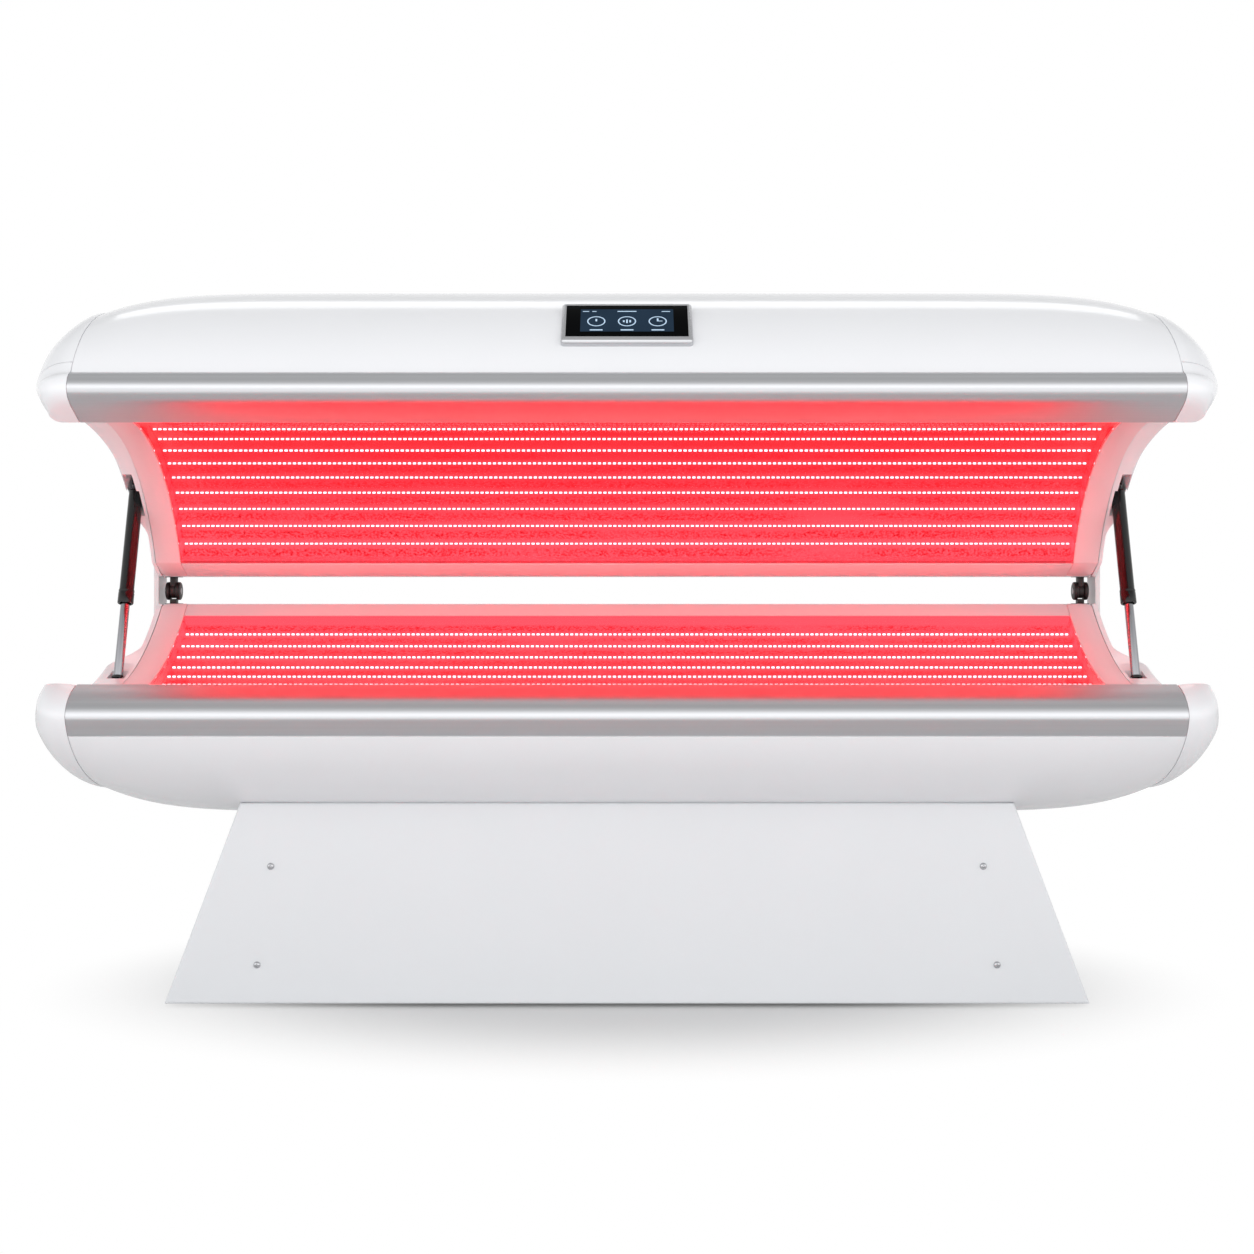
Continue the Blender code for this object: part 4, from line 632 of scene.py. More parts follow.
def cap(parts, start, stop, steps, side):
    """An end cap that runs over the bulged end from the outer skin to the arch."""
    half, outer, inner, taper, lead, swell, rim = parts
    shape = [(math.sin(i * math.pi / 24), CAP_WIDEST * (1 - math.cos(i * math.pi / 24))) for i in range(13)]
    shape += [(rim + (1 - rim) * math.cos(i * math.pi / 20),
               CAP_WIDEST + (1 - CAP_WIDEST) * math.sin(i * math.pi / 20)) for i in range(1, 11)]
    rings = []
    for i in range(steps + 1):
        f = start + (stop - start) * i / steps
        top, low = along(outer, f), along(inner, f)
        scale, rise = reach_at(f, lead), reach_at(f, swell)
        ring = []
        for out, share in shape + [(0.0, 1.0)]:
            spot = top.lerp(low, share)
            reach = reach_at(spot.length, taper) * scale
            ring.append((side * (SEAM_X + reach * out), -spot.x, half.sign * (spot.y - rise * out)))
        rings.append(ring)
    return half.placed(skin(rings))


def spot_of(joint):
    """Where a joint is."""
    return Vector(JOINTS[joint]["pos_m"])


def slot_block(joint, other, radius):
    """The pocket that a gas spring sweeps round its stud."""
    pivot, end = spot_of(joint), spot_of(other)
    rest = math.atan2(end.z - pivot.z, end.y - pivot.y)
    low, high = sorted((rest, rest + math.radians(sum(JOINTS[joint]["range_deg"]))))
    turns = [high + math.pi / 2 + (math.pi - high + low) * i / 16 for i in range(17)]
    points = [(radius * math.cos(a), radius * math.sin(a)) for a in turns]
    for near, way in ((points[-1], low), ((0, 0), (low + high) / 2), (points[0], high)):
        points.append((near[0] + SLOT_REACH * math.cos(way), near[1] + SLOT_REACH * math.sin(way)))
    return prism([(pivot.y + y, pivot.z + z) for y, z in points], pivot.x - SLOT_HALF, pivot.x + SLOT_HALF)


class BED_OT_caps(bpy.types.Operator):
    """End caps, nose caps and corner covers: gloss white mouldings with pockets for the gas springs."""
    bl_idname = "therapy_bed.caps"
    bl_label = "End caps"

    def execute(self, context):
        # Moulded ABS, polished: a little softer in gloss than the shells, sink marks too shallow to see
        white = coated("gloss white ABS, moulded", finish_colour("shell"), 0.18, 0.06, 0.007, 0.00003,
                       Coat_Weight=0.3, Coat_Roughness=0.08)
        split = split_share()
        for side, sign in SIDES:
            upper, lower = "strut_cylinder_pivot_" + side, "strut_rod_pivot_" + side
            dress("nose_cap_" + side, cap(CANOPY_CAP, 0.0, split - CAP_SPLIT_GAP, 40, sign), white,
                  "canopy_end_cap_" + side)
            cover = dress("corner_cover_" + side, cap(CANOPY_CAP, split, 1.0, 110, sign), white,
                          "canopy_corner_cover_" + side)
            carve(cover, slot_block(upper, lower, COVER_SLOT))
            stud = spot_of(upper)
            notch = [(-NOTCH_BACK, -NOTCH_LOW), (0.0, -NOTCH_LOW), (0.0, NOTCH_HIGH), (-NOTCH_BACK, NOTCH_HIGH)]
            carve(cover, prism([(stud.y + y, stud.z + z) for y, z in notch],
                               *sorted((stud.x + sign * NOTCH_OUT, stud.x - sign * NOTCH_IN))))
            low = dress("bed_cap_" + side, cap(BED_CAP, 0.0, 1.0, 130, sign), white, "bed_end_cap_" + side)
            carve(low, slot_block(lower, upper, BED_SLOT))
        return {"FINISHED"}


class BED_OT_linings(bpy.types.Operator):
    """End arches and rear trims: satin white plastic that takes the glow of the panels, with more red glow painted
    into its pink-white colour.
    """
    bl_idname = "therapy_bed.linings"
    bl_label = "Linings"

    def execute(self, context):
        # Thermoformed PVC: satin, with a fine 1.5 mm grain that softens the red glow; its pink tint is painted red
        # glow on white plastic
        white = coated("satin white PVC, thermoformed", finish_colour("lining"), 0.34, 0.10, 0.0015, 0.00003)
        outlines = [half.band(-CHEEK_PROUD, CHEEK_DEPTH, half.rear, half.front) for half in (canopy, bed)]
        outlines[0].insert(0, (canopy.edge, canopy.rim))
        outlines[0].append((canopy.edge, canopy.rim + CHEEK_DEPTH))
        for side, sign in SIDES:
            ends = sorted((sign * (SEAM_X - CHEEK_WIDTH), sign * MIDDLE))
            for half, points in zip((canopy, bed), outlines):
                bm = prism(half.section(points), *ends)
                rear = [Vector((sign * MIDDLE, y, z)) for y, z in half.section((points[0], points[-1]))]
                outer = [e for e in bm.edges
                         if all(any((v.co - r).length < SAME for r in rear) for v in e.verts)]
                bmesh.ops.bevel(bm, geom=outer, offset=CHEEK_ROUND, segments=8, profile=0.5, affect="EDGES",
                                material=-1)
                soften(bm, CHEEK_EDGE)
                dress(half.name + "_arch_" + side, half.placed(bm), white, half.name + "_cheek_" + side)
        back, front, low = canopy.edge, canopy.edge + TRIM_WIDTH, canopy.rim
        trim = [(back, low), (front, low), (front, low + TRIM_WALL), (back + TRIM_WALL, low + TRIM_WALL),
                (back + TRIM_WALL, low + FLANGE), (back, low + FLANGE)]
        dress("canopy_trim", canopy.lining(trim, TRIM_EDGE), white, "canopy_rear_trim")
        trim = bed.band(0.0, TRIM_WALL, bed.rear, BED_TRIM_ANGLE, 12)
        dress("bed_trim", bed.lining(trim, BED_TRIM_EDGE), white, "bed_rear_trim")
        return {"FINISHED"}


def panel_light(glow):
    """Lit red panel: deep red at the front, paler to the rear, darker mottled bands between the LED rows."""
    made, tree, shader, coords = surface("red LED panel, lit", Roughness=0.5, Base_Color=linear("#6E0810"),
                                         Emission_Strength=glow)
    forward = axis(tree, add(tree, "UVMap", uv_map="panel").outputs["UV"], "Y")
    across = maths(tree, "PINGPONG", forward, ROW_PITCH / 2)
    band = ranged(tree, across, start=ROW_PITCH * 0.16, stop=ROW_PITCH * 0.36)
    dots = ranged(tree, grain(tree, coords, 0.0042, 1.0, (0.8, 1, 1)), start=0.38, stop=0.66)
    patch = ranged(tree, grain(tree, coords, 0.045, 3.0, (0.15, 1, 1)), start=0.28, stop=0.46)
    dark = maths(tree, "MULTIPLY", maths(tree, "MULTIPLY", dots, band), patch)
    depth = ranged(tree, forward, 1.0, 0.0, -0.02, 0.34)
    red = blend(tree, depth, finish_colour("deep_red"), finish_colour("pale_red"))
    feed(shader, {"Emission Color": blend(tree, ranged(tree, dark), red, linear("#A00515"))})
    return made


class BED_OT_panels(bpy.types.Operator):
    """LED panels: lit red sheets with rows of bright LEDs."""
    bl_idname = "therapy_bed.panels"
    bl_label = "LED panels"

    def execute(self, context):
        sizes = context.scene.bed_sizes
        red = panel_light(sizes.glow)
        # LED lens, moulded silicone over the chip: so bright that its red looks white
        lens, tree, shader, coords = surface("LED lens, lit", Roughness=0.4, Base_Color=finish_colour("dash"),
                                             Emission_Color=finish_colour("dash"))
        feed(shader, {"Emission Strength": ranged(tree, grain(tree, coords, 0.02), 9.0, 20.0)})
        for half, start, rear, first in PANELS:
            front, lip = half.radius + PANEL_SET, ACRYLIC + PANEL_GAP
            flange = rear + PANEL_WALL / front
            angles = [start + (first + row * ROW_PITCH) / front for row in range(ROWS)]
            outline = half.arc(lip, rear, flange, 1) + half.arc(PANEL_SET, flange, half.front)
            outline += half.arc(PANEL_SET + PANEL_WALL, half.front, rear)
            ends = half.section(half.band(lip, PANEL_SET, flange, half.front))
            bm = joined(prism(half.section(outline), -LINING_X, LINING_X),
                        prism(ends, -LINING_X, PANEL_END - LINING_X),
                        prism(ends, LINING_X - PANEL_END, LINING_X))
            layer = bm.loops.layers.uv.new("panel")
            for face in bm.faces:
                for loop in face.loops:
                    u, w = -loop.vert.co.y - half.centre[0], half.sign * loop.vert.co.z - half.centre[1]
                    loop[layer].uv = (loop.vert.co.x, (math.atan2(u, w) - angles[0]) * front)
            dress(half.name + "_panel", half.placed(bm), red, half.name + "_led_panel")
            dress(half.name + "_leds", self.rows(half, sizes, front, angles), lens,
                  body=NODE_BODIES[half.name + "_led_panel"], slot="lit_led_panel")
        return {"FINISHED"}

    @staticmethod
    def rows(half, sizes, front, angles):
        """All the LEDs of a panel."""
        pitch, width = sizes.dash_pitch, sizes.dash_width
        bm = bmesh.new()
        bmesh.ops.create_cube(bm, size=1.0, matrix=Matrix.Diagonal((sizes.dash_length, width, ROW_HEIGHT, 1.0)))
        face = min(bm.faces, key=lambda f: f.calc_center_median().z)
        bmesh.ops.inset_region(bm, faces=[face], thickness=width * 0.2, depth=width * 0.15)
        count = int((2 * LINING_X - ROW_MARGIN) / pitch)
        height = front - ROW_HEIGHT / 2 - ROW_GAP
        bmesh.ops.translate(bm, verts=bm.verts, vec=(-(count - 1) / 2 * pitch, 0, height))
        one = list(bm.verts) + list(bm.edges) + list(bm.faces)
        for i in range(1, count):
            copy = bmesh.ops.duplicate(bm, geom=one)["geom"]
            bmesh.ops.translate(bm, verts=new_verts(copy), vec=(i * pitch, 0, 0))
        row = list(bm.verts) + list(bm.edges) + list(bm.faces)
        rows = [bmesh.ops.duplicate(bm, geom=row)["geom"] for _ in angles[1:]]
        for geometry, angle in zip([row] + rows, angles):
            bmesh.ops.rotate(bm, verts=new_verts(geometry), cent=(0, 0, 0),
                             matrix=Matrix.Rotation(angle, 3, "X"))
        bmesh.ops.translate(bm, verts=bm.verts, vec=(0, -half.centre[0], half.centre[1]))
        if half.sign < 0:
            bmesh.ops.scale(bm, verts=bm.verts, vec=(1, 1, -1))
            bmesh.ops.reverse_faces(bm, faces=bm.faces)
        return half.placed(bm)


class BED_OT_acrylic(bpy.types.Operator):
    """Clear acrylic sheets over the LED panels."""
    bl_idname = "therapy_bed.acrylic"
    bl_label = "Acrylic"

    def execute(self, context):
        # Cast PMMA with an anti-glare coat: clear, with a slow ripple that only its faint reflections show
        clear, tree, shader, coords = surface("clear acrylic, cast", Roughness=0.04, IOR=1.10,
                                              Transmission_Weight=1.0, Base_Color=linear("#FFF4F4"))
        bumped(tree, shader, grain(tree, coords, 0.35, 1.0), 0.0004, 0.4)
        for half, start in ((canopy, canopy.rear), (bed, BED_TRIM_ANGLE + SHEET_TURN)):
            outline = half.band(0.0, ACRYLIC, start, half.turn(ACRYLIC))
            dress(half.name + "_sheet", half.lining(outline), clear, half.name + "_acrylic")
        return {"FINISHED"}


# Hinges: profiles in mm, blocks as half widths in X and Y, low and high in Z
HINGE_X, DISC_X, HINGE_BEVEL = 1.008, 0.011, 0.0005
HINGE_DISC = mirrored([(8.3, -4.5), (18.0, -4.5), (19.5, -3.6), (20.0, -2.0)])
HINGE_EYE = mirrored([(8.3, -6.0), (15.2, -6.0), (16.0, -5.2)])
HINGE_AXLE = mirrored([(0, -16.6), (7.0, -16.6), (8.0, -15.6)])
FORK_BLOCKS = ((0.007, 0.010, -0.0285, -0.0175), (0.0155, 0.020, -0.0287, -0.0275))
LUG_BLOCKS = ((0.006, 0.012, 0.0100, 0.0310), (0.0155, 0.020, 0.0305, 0.0317))


class BED_OT_hinges(bpy.types.Operator):
    """Hinges and their white side plates."""
    bl_idname = "therapy_bed.hinges"
    bl_label = "Hinges"

    def execute(self, context):
        # Phosphated and painted steel: near black with a brown cast
        black = coated("black painted steel, stamped", linear("#2A2020"), 0.35, 0.15, 0.002, 0.00004, 0.3,
                       Metallic=0.35)
        # Turned steel pin: grey, with fine rings that blur its highlight
        steel = drawn_metal("turned steel", linear("#8A8486"), 0.25, 0.1, 0.001, 0.00001, (30, 1, 1))
        # Moulded ABS cover plate: satin, softer than the caps beside it
        white = coated("satin white ABS, moulded", linear("#E2DCDD"), 0.28, 0.08, 0.004, 0.00003)
        for side, sign in SIDES:
            spot = HINGE + Vector((sign * HINGE_X, 0, 0))
            place = Matrix.Translation(spot) @ ACROSS
            discs = [turned(HINGE_DISC, Matrix.Translation(spot + Vector((x, 0, 0))) @ ACROSS)
                     for x in (-DISC_X, DISC_X)]
            for name, node, parts, blocks in (
                    ("hinge_spool_", "hinge_fork_", discs, FORK_BLOCKS),
                    ("hinge_tongue_", "hinge_lug_", [turned(HINGE_EYE, place)], LUG_BLOCKS)):
                for half_x, half_y, low, high in blocks:
                    points = [(-half_y, low), (half_y, low), (half_y, high), (-half_y, high)]
                    parts.append(prism([(spot.y + y, spot.z + z) for y, z in points], spot.x - half_x,
                                       spot.x + half_x, HINGE_BEVEL))
                dress(name + side, joined(*parts), black, node + side)
            dress("hinge_axle_" + side, turned(HINGE_AXLE, place), steel, "hinge_pin_" + side)
            refined("hinge_side_plate_" + side, white)
        return {"FINISHED"}


# Gas springs: profiles in mm, the tube's from its upper stud, the rod's and the socket's from its lower stud
TUBE = [(12.4, -280), (15.4, -280), (16.2, -279.2), (16.4, -278), (16.4, -258), (16.0, -257), (15.4, -256.6),
        (15.4, -255.2), (16.0, -254.6), (16.2, -253), (16.0, -250.8), (15.2, -250.2), (15.0, -248), (15.0, -30),
        (14.7, -27.2), (13.6, -25.2), (7.2, -24.0), (6.0, -22.5), (5.5, -12), (5.0, -9.3), (0, -9.3),
        (0, -28), (13.8, -28), (13.8, -262), (12.4, -262)]
CONE = [(0, -24.6), (10.0, -24.6), (10.4, -23.8), (6.6, -10.0), (0, -9.4)]
ROD = [(0, 15.0), (9.2, 15.0), (9.4, 16.0), (9.4, 244.5), (8.8, 246), (0, 246)]
SOCKET = [(0, 8.5), (12.2, 8.5), (13.0, 9.5), (13.0, 13.8), (11.6, 15.2), (9.6, 15.6), (0, 15.6)]
SPRING_EYE = mirrored([(8.3, -8.0), (12.2, -8.0), (13.0, -6.8)])
STUD = [(0, -16.2), (13.5, -16.2), (14.0, -15.7), (14.0, -12.7), (13.5, -12.2), (8.0, -12.2), (8.0, 8.5),
        (10.5, 8.5), (11.0, 9.0), (10.6, 10.5), (7.0, 11.0), (0, 11.0)]


class BED_OT_springs(bpy.types.Operator):
    """Gas springs: black cylinder with a crimped collar, chromed rod, bright studs."""
    bl_idname = "therapy_bed.springs"
    bl_label = "Gas springs"

    def execute(self, context):
        # Epoxy-coated steel tube: deep gloss black
        black = coated("black epoxy, sprayed on steel tube", linear("#0B0B0C"), 0.10, 0.05, 0.003, 0.00001, 0.2,
                       Specular_IOR_Level=0.42)
        # Hard chrome, ground: long bright reflections
        chrome = drawn_metal("hard chrome, ground", linear("#96969A"), 0.08, 0.04, 0.0012, 0.0000005,
                             (1, 1, 40))
        # Zinc-plated ball studs: pale grey, with turning rings that blur their highlights
        zinc = drawn_metal("zinc plate, turned", linear("#A9A9AB"), 0.22, 0.12, 0.001, 0.00001, (30, 1, 1))
        for side, sign in SIDES:
            cylinder, rod = "strut_cylinder_" + side, "strut_rod_" + side
            upper, lower = spot_of("strut_cylinder_pivot_" + side), spot_of("strut_rod_pivot_" + side)
            lean = Matrix.Rotation(-math.atan2(upper.y - lower.y, upper.z - lower.z), 4, "X")
            tube_place, rod_place = Matrix.Translation(upper) @ lean, Matrix.Translation(lower) @ lean
            eyes = [turned(SPRING_EYE, Matrix.Translation(spot) @ ACROSS) for spot in (upper, lower)]
            dress("gas_cylinder_" + side, joined(turned(TUBE, tube_place), eyes[0]), black, cylinder)
            dress("spring_cone_" + side, turned(CONE, tube_place), zinc, body=cylinder, slot="bright_stud")
            dress("gas_rod_" + side, turned(ROD, rod_place), chrome, rod)
            dress("ball_socket_" + side, joined(turned(SOCKET, rod_place), eyes[1]), black, body=rod,
                  slot=NODE_SLOTS[cylinder])
            out = Matrix.Rotation(sign * math.pi / 2, 4, "Y")
            for spot, node in ((upper, "strut_upper_stud_"), (lower, "strut_lower_stud_")):
                dress(node + side + "_fine", turned(STUD, Matrix.Translation(spot) @ out), zinc, node + side)
        return {"FINISHED"}


def crown_spot(height):
    """A point of the crown at a height above the front rail, in the middle of the canopy."""
    share = (1 - (height / DISPLAY_RISE) ** CROWN_POWER) ** (1 / CROWN_POWER)
    return Vector((CROWN_U + CROWN_FRONT * share, CROWN_BASE + height))


DISPLAY_FOOT, DISPLAY_HEAD = crown_spot(DISPLAY_LOW), crown_spot(DISPLAY_HIGH)
DISPLAY_LENGTH = (DISPLAY_HEAD - DISPLAY_FOOT).length
UP_SLOPE = (DISPLAY_HEAD - DISPLAY_FOOT).normalized()
OFF_SLOPE = Vector((UP_SLOPE.y, -UP_SLOPE.x))


def display_frame():
    """Places X across, Y up the display's slope and Z off its face."""
    up, off = (canopy.place.to_3x3() @ Vector((0, -way.x, way.y)) for way in (UP_SLOPE, OFF_SLOPE))
    spot = canopy.place @ Vector((0, -DISPLAY_FOOT.x, DISPLAY_FOOT.y))
    turn = Matrix((Vector((1, 0, 0)), up, off)).transposed().to_4x4()
    return Matrix.Translation(spot) @ turn


def display_block(half, low, high, bottom, top, bevel=0.0):
    """A block on the display's slope."""
    bm = block(half, low, high, bottom, top, bevel)
    bm.transform(display_frame())
    return bm


# Symbols of the display: rings with a bar below them, then bars as X, Y, half width and height
SYMBOL_RING = [(15.0, 0), (15.0, 0.3), (17.2, 0.3), (17.2, 0)]
SYMBOL_X, RING_BAR = (-0.058, 0.0, 0.058), (0.012, -0.032, -0.0285)
SYMBOL_BARS = ((-0.058, 0.0, 0.0016, 0.008), (0.0, -0.006, 0.0016, 0.012), (-0.006, -0.003, 0.0016, 0.006),
               (0.006, -0.004, 0.0016, 0.008), (0.058, 0.0, 0.0016, 0.010), (0.062, 0.0, 0.005, 0.0018),
               (-0.078, 0.034, 0.006, 0.002), (-0.062, 0.034, 0.004, 0.002), (0.074, 0.034, 0.008, 0.002),
               (0.0, 0.034, 0.018, 0.0025))


class BED_OT_display(bpy.types.Operator):
    """Display: silver bezel, black glass, a dim blue screen with plain symbols."""
    bl_idname = "therapy_bed.display"
    bl_label = "Display"

    def execute(self, context):
        # Silver-painted moulding: fine metal flake
        silver = coated("silver paint, sprayed", linear("#C6C7CA"), 0.20, 0.08, 0.0015, 0.00002, 0.08,
                        Metallic=1.0)
        body = display_block(DISPLAY_HALF, 0.0, DISPLAY_LENGTH, -DISPLAY_DEPTH, DISPLAY_PROUD)
        bezel = dress("bezel", soften(body, BEZEL_ROUND, 6), silver, "display_bezel")
        low, high, top = GLASS_LOW, DISPLAY_LENGTH - GLASS_HIGH, DISPLAY_PROUD - GLASS_SINK
        carve(bezel, display_block(GLASS_HALF + CLEAR, low - CLEAR, high + CLEAR, top - GLASS - CLEAR,
                                   BEZEL_CUT))
        # Back-printed cover glass: deep black with a hard gloss
        glass = coated("black cover glass, back printed", linear("#0B0C0D"), 0.05, 0.03, 0.08, 0.00001, 0.1,
                       Specular_IOR_Level=0.004)
        dress("cover_glass", display_block(GLASS_HALF, low, high, top - GLASS, top, GLASS_EDGE), glass,
              "display_screen")
        # Backlit panel: dim slate blue with a slow unevenness
        lit, tree, shader, coords = surface("LCD, backlit", Roughness=0.12, Specular_IOR_Level=0.004,
                                            Base_Color=linear("#0A1016"), Emission_Strength=1.0)
        feed(shader, {"Emission Color": tinted(tree, finish_colour("screen"), grain(tree, coords, 0.06), 0.35)})
        middle, tall = (low + high) / 2 + LCD_RAISE, (high - low) * LCD_SHARE
        rides = {"body": "canopy", "slot": "black_glass"}
        dress("lcd", display_block(LCD_HALF, middle - tall, middle + tall, top, top + LCD_THICK), lit, **rides)
        # Symbols: pale, lit
        pale = surface("LCD symbol, backlit", Roughness=0.2, Specular_IOR_Level=0.004, Emission_Strength=0.8,
                       Base_Color=linear("#8FA3B5"), Emission_Color=linear("#9DB2C6"))[0]
        marks = []
        place = display_frame() @ Matrix.Translation((0, middle - LCD_RAISE, top + LCD_THICK))
        for x in SYMBOL_X:
            spot = place @ Matrix.Translation((x, 0, 0))
            bar = block(*RING_BAR, 0, MARK_THICK)
            bar.transform(spot)
            marks += [turned(SYMBOL_RING, spot, 40), bar]
        for x, y, half, rise in SYMBOL_BARS:
            bar = block(half, 0, rise, 0, MARK_THICK)
            bar.transform(place @ Matrix.Translation((x, y, 0)))
            marks.append(bar)
        dress("symbols", joined(*marks), pale, **rides)
        # Solder mask over copper: dark green, uneven where tracks run below it
        paint("control_board", coated("green solder mask, printed", linear("#0E4A2A"), 0.4, 0.1, 0.004, 0.00005,
                                      0.3))
        return {"FINISHED"}


class BED_OT_base(bpy.types.Operator):
    """Base: powder-coated panels on trestles, with feet, screws, fans and power supply."""
    bl_idname = "therapy_bed.base"
    bl_label = "Base"

    def execute(self, context):
        # Powder coat on folded steel: semi-gloss, orange peel about 3 mm across
        white = coated("white powder coat, baked on steel", finish_colour("base"), 0.32, 0.10, 0.003, 0.00005)
        # The same in grey for the trestles: duller, with a finer peel
        grey = coated("grey powder coat, baked on steel", linear("#9A9CA0"), 0.42, 0.12, 0.002, 0.00006)
        # Feet: matt black that shows hardly any highlight
        rubber = coated("black rubber, moulded", linear("#1A1A1A"), 0.62, 0.15, 0.002, 0.00008, 0.2)
        # Fans and inlet: black with a broad soft sheen
        plastic = coated("black nylon, moulded", linear("#1C1C1E"), 0.42, 0.12, 0.0015, 0.00004, 0.2)
        # Power supply's case: pale grey with long rolling marks
        steel = drawn_metal("zinc-plated sheet steel, rolled", linear("#A6A8AC"), 0.30, 0.15, 0.002, 0.00001,
                            (0.1, 1, 1))
        # Screws: small bright points on the white front
        bright = drawn_metal("zinc-plated screw, turned", linear("#C2C3C6"), 0.20, 0.1, 0.0008, 0.00001,
                             (1, 30, 1))
        for end in ("front_panel", "rear_panel", "side_panel_left", "side_panel_right"):
            paint("base_" + end, white)
        for side, _ in SIDES:
            refined("base_trestle_" + side, grey, 0.002)
            refined("base_fan_frame_" + side, plastic)
            refined("base_fan_rotor_" + side, plastic)
            for end in ("front", "rear"):
                refined("levelling_foot_" + end + "_" + side, rubber)
        refined("power_supply", steel)
        refined("mains_inlet", plastic, 0.0006)
        # Dome with a small socket, and the shank behind it, in mm
        dome = [(6.8 * math.sin(i * math.pi / 24), 4.2 * (1 - math.cos(i * math.pi / 24)))
                for i in range(5, 13)]
        screw = [(0, 1.1), (1.6, 1.1), (2.2, 0.1)] + dome + [(3.0, 4.2), (3.0, 20.2), (0, 20.2)]
        for index in "1234":
            node = "panel_screw_" + index
            low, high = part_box(node)
            head = Vector(((low.x + high.x) / 2, low.y, (low.z + high.z) / 2))
            place = Matrix.Translation(head) @ Matrix.Rotation(-math.pi / 2, 4, "X")
            dress("domed_screw_" + index, turned(screw, place, 32), bright, node)
        return {"FINISHED"}


# Lamps: name, place, aim, size and power
LAMPS = (("overhead", (0.0, 0.2, 3.8), (0.0, 0.0, 0.8), (5.0, 3.0), 12.0),
         ("rear strip", (0.0, 4.5, 6.2), (0.0, 0.0, 1.3), (7.0, 1.3), 42.0),
         ("front", (0.0, -5.0, 2.0), (0.0, 0.0, 0.8), (6.0, 2.4), 2.0))
WHITE = (1.0, 1.0, 1.0, 1.0)
CAMERA_BACK, CAMERA_LENS, CAMERA_SHIFT, FLOOR_SIZE = 3.888, 50.15, -0.0287, 40.0


def seen_straight(tree):
    """1 where the camera looks straight at something, or through the acrylic, and 0 in reflections."""
    rays = add(tree, "LightPath").outputs
    return maths(tree, "MAXIMUM", rays["Is Camera Ray"], rays["Is Transmission Ray"])


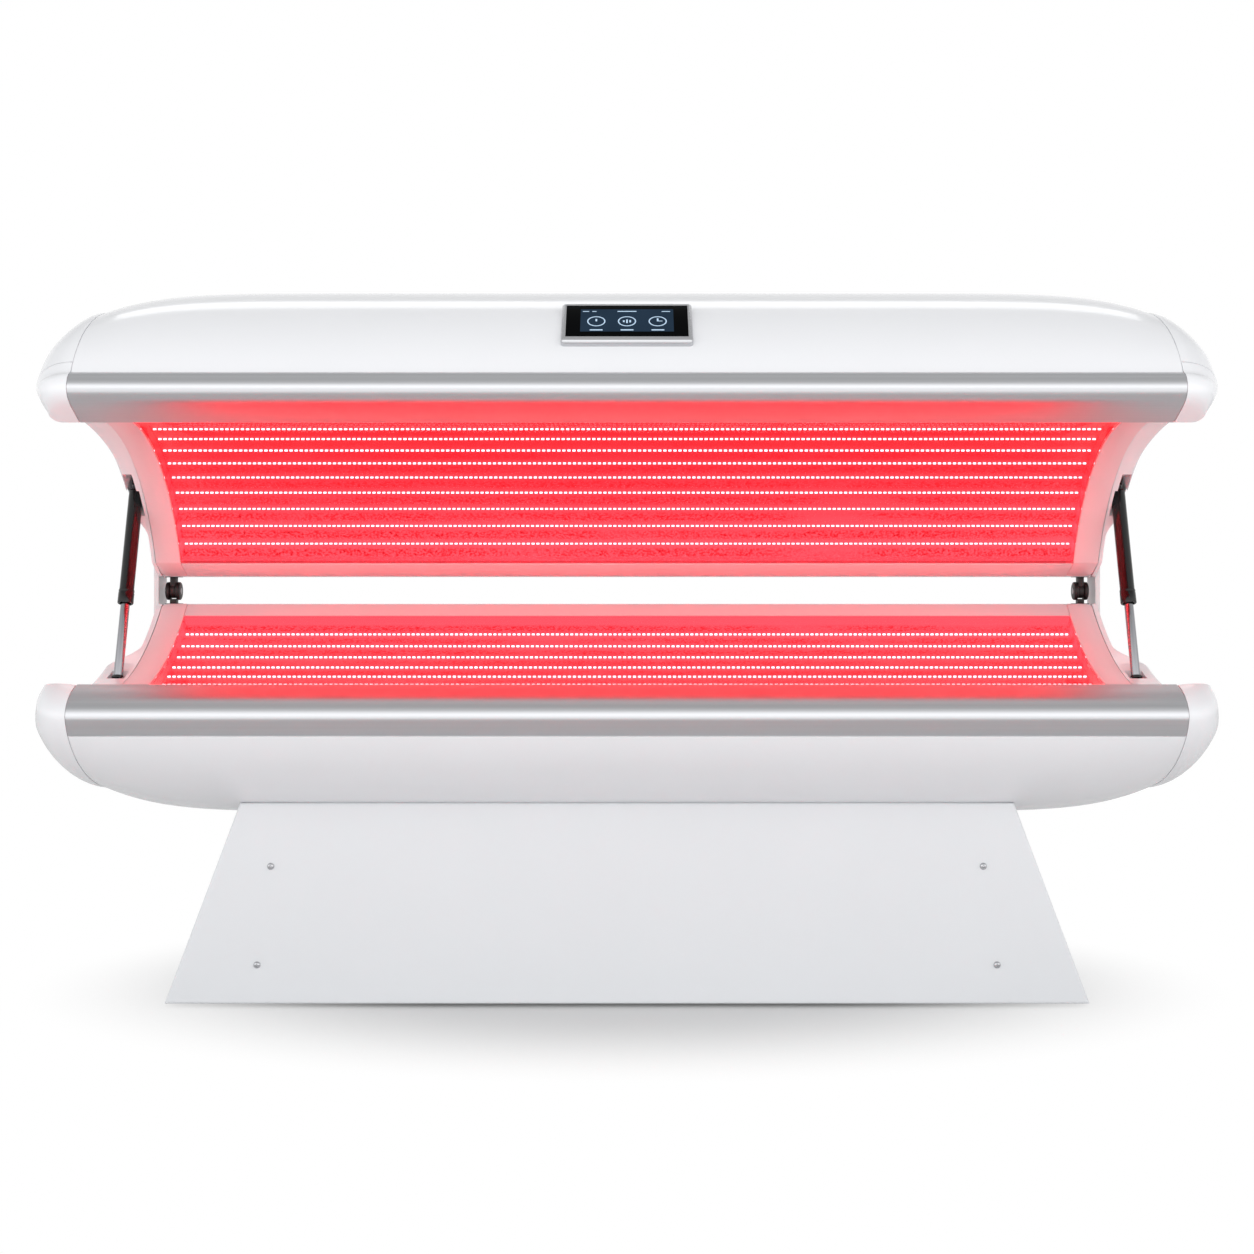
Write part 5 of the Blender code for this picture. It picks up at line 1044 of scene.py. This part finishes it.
class BED_OT_stage(bpy.types.Operator):
    """Floor, white surroundings, soft lights and the camera of the photograph."""
    bl_idname = "therapy_bed.stage"
    bl_label = "Stage"

    def execute(self, context):
        scene = context.scene
        scene.view_settings.view_transform = "Standard"
        self.floor(scene)
        self.world(scene)
        for name, spot, aim, size, power in LAMPS:
            light = bpy.data.lights.new(name, "AREA")
            light.shape = "RECTANGLE"
            light.size, light.size_y = size
            light.energy = power
            lamp = bpy.data.objects.new(name, light)
            lamp.location = spot
            lamp.rotation_euler = (Vector(aim) - Vector(spot)).to_track_quat("-Z", "Y").to_euler()
            scene.collection.objects.link(lamp)
        lens = bpy.data.cameras.new("photograph")
        lens.sensor_width = 36.0
        lens.lens = CAMERA_LENS
        lens.shift_y = CAMERA_SHIFT
        camera = bpy.data.objects.new("photograph", lens)
        camera.location = (0.0, HINGE.y - CAMERA_BACK, HINGE.z)
        camera.rotation_euler = (math.pi / 2, 0.0, 0.0)
        scene.collection.objects.link(camera)
        scene.camera = camera
        return {"FINISHED"}

    @staticmethod
    def floor(scene):
        """White paper that shows a soft shadow near the bed, partly cast and partly painted shadow."""
        bm = bmesh.new()
        bmesh.ops.create_grid(bm, x_segments=1, y_segments=1, size=FLOOR_SIZE)
        mesh = bpy.data.meshes.new("floor")
        bm.to_mesh(mesh)
        bm.free()
        floor = bpy.data.objects.new("floor", mesh)
        scene.collection.objects.link(floor)
        # Matt paper: no highlight, only the cast shadow and its own light, which a painted shadow dims near the
        # bed
        paper, tree, shader, coords = surface("white paper sweep", Roughness=0.9, Specular_IOR_Level=0.0,
                                              Emission_Color=WHITE)
        seen = seen_straight(tree)
        # Painted shadow: near the bed the paper's own light drops and greyer lit paper takes its place, fading out
        # to plain white paper 1.25 m to the sides and 0.78 m to the front
        away = add(tree, "Mapping", {"Vector": coords, "Scale": (1 / 1.25, 1 / 0.78, 1.0)}).outputs["Vector"]
        away = add(tree, "VectorMath", {0: away}, operation="LENGTH").outputs["Value"]
        away = ranged(tree, away, start=0.38, curve="SMOOTHSTEP")
        near = mixed(tree, seen, 0.82, ranged(tree, away, 0.62, 0.0))
        # From 1.5 m to the front the sweep is lit by lamps of its own, which the rails show under the horizon
        far = ranged(tree, axis(tree, coords, "Y"), 0.0, 0.8, -1.5, -2.2)
        feed(shader, {"Base Color": add(tree, "CombineColor", {0: near, 1: near, 2: near}).outputs["Color"],
                      "Emission Strength": mixed(tree, seen, far, ranged(tree, away, 0.10, 1.0))})
        mesh.materials.append(paper)

    @staticmethod
    def world(scene):
        """A bright band round the horizon and a dimmer ceiling, which the rails show as bands."""
        scene.world = bpy.data.worlds.new("studio")
        scene.world.use_nodes = True
        tree = scene.world.node_tree
        way = add(tree, "TexCoord").outputs["Generated"]
        level = ranged(tree, axis(tree, way, "Z"), 1.82, 0.64, 0.25, 0.82, "SMOOTHSTEP")
        behind = ranged(tree, axis(tree, way, "Y"), 1.0, 0.54, -0.65, 0.15)
        strength = mixed(tree, seen_straight(tree), maths(tree, "MULTIPLY", level, behind), 1.0)
        feed(tree.nodes["Background"], {"Color": WHITE, "Strength": strength})


class BED_PT_panel(bpy.types.Panel):
    """Lists the steps that dress the therapy bed."""
    bl_idname = "BED_PT_panel"
    bl_label = "Therapy bed"
    bl_space_type = "VIEW_3D"
    bl_region_type = "UI"
    bl_category = "Therapy bed"

    def draw(self, context):
        for group in (context.scene.bed_finish, context.scene.bed_sizes):
            for name in group.__annotations__:
                self.layout.prop(group, name)
        for step in STEPS:
            self.layout.operator(step.bl_idname)


STEPS = (BED_OT_stage, BED_OT_shells, BED_OT_rails, BED_OT_caps, BED_OT_linings, BED_OT_panels, BED_OT_acrylic,
         BED_OT_hinges, BED_OT_springs, BED_OT_display, BED_OT_base)
CLASSES = (BedFinish, BedSizes, *STEPS, BED_PT_panel)


def register():
    for item in CLASSES:
        bpy.utils.register_class(item)
    bpy.types.Scene.bed_finish = PointerProperty(type=BedFinish)
    bpy.types.Scene.bed_sizes = PointerProperty(type=BedSizes)


def unregister():
    del bpy.types.Scene.bed_sizes
    del bpy.types.Scene.bed_finish
    for item in reversed(CLASSES):
        bpy.utils.unregister_class(item)


def main():
    register()
    for step in STEPS:
        group, name = step.bl_idname.split(".")
        getattr(getattr(bpy.ops, group), name)()


if __name__ == "__main__":
    main()
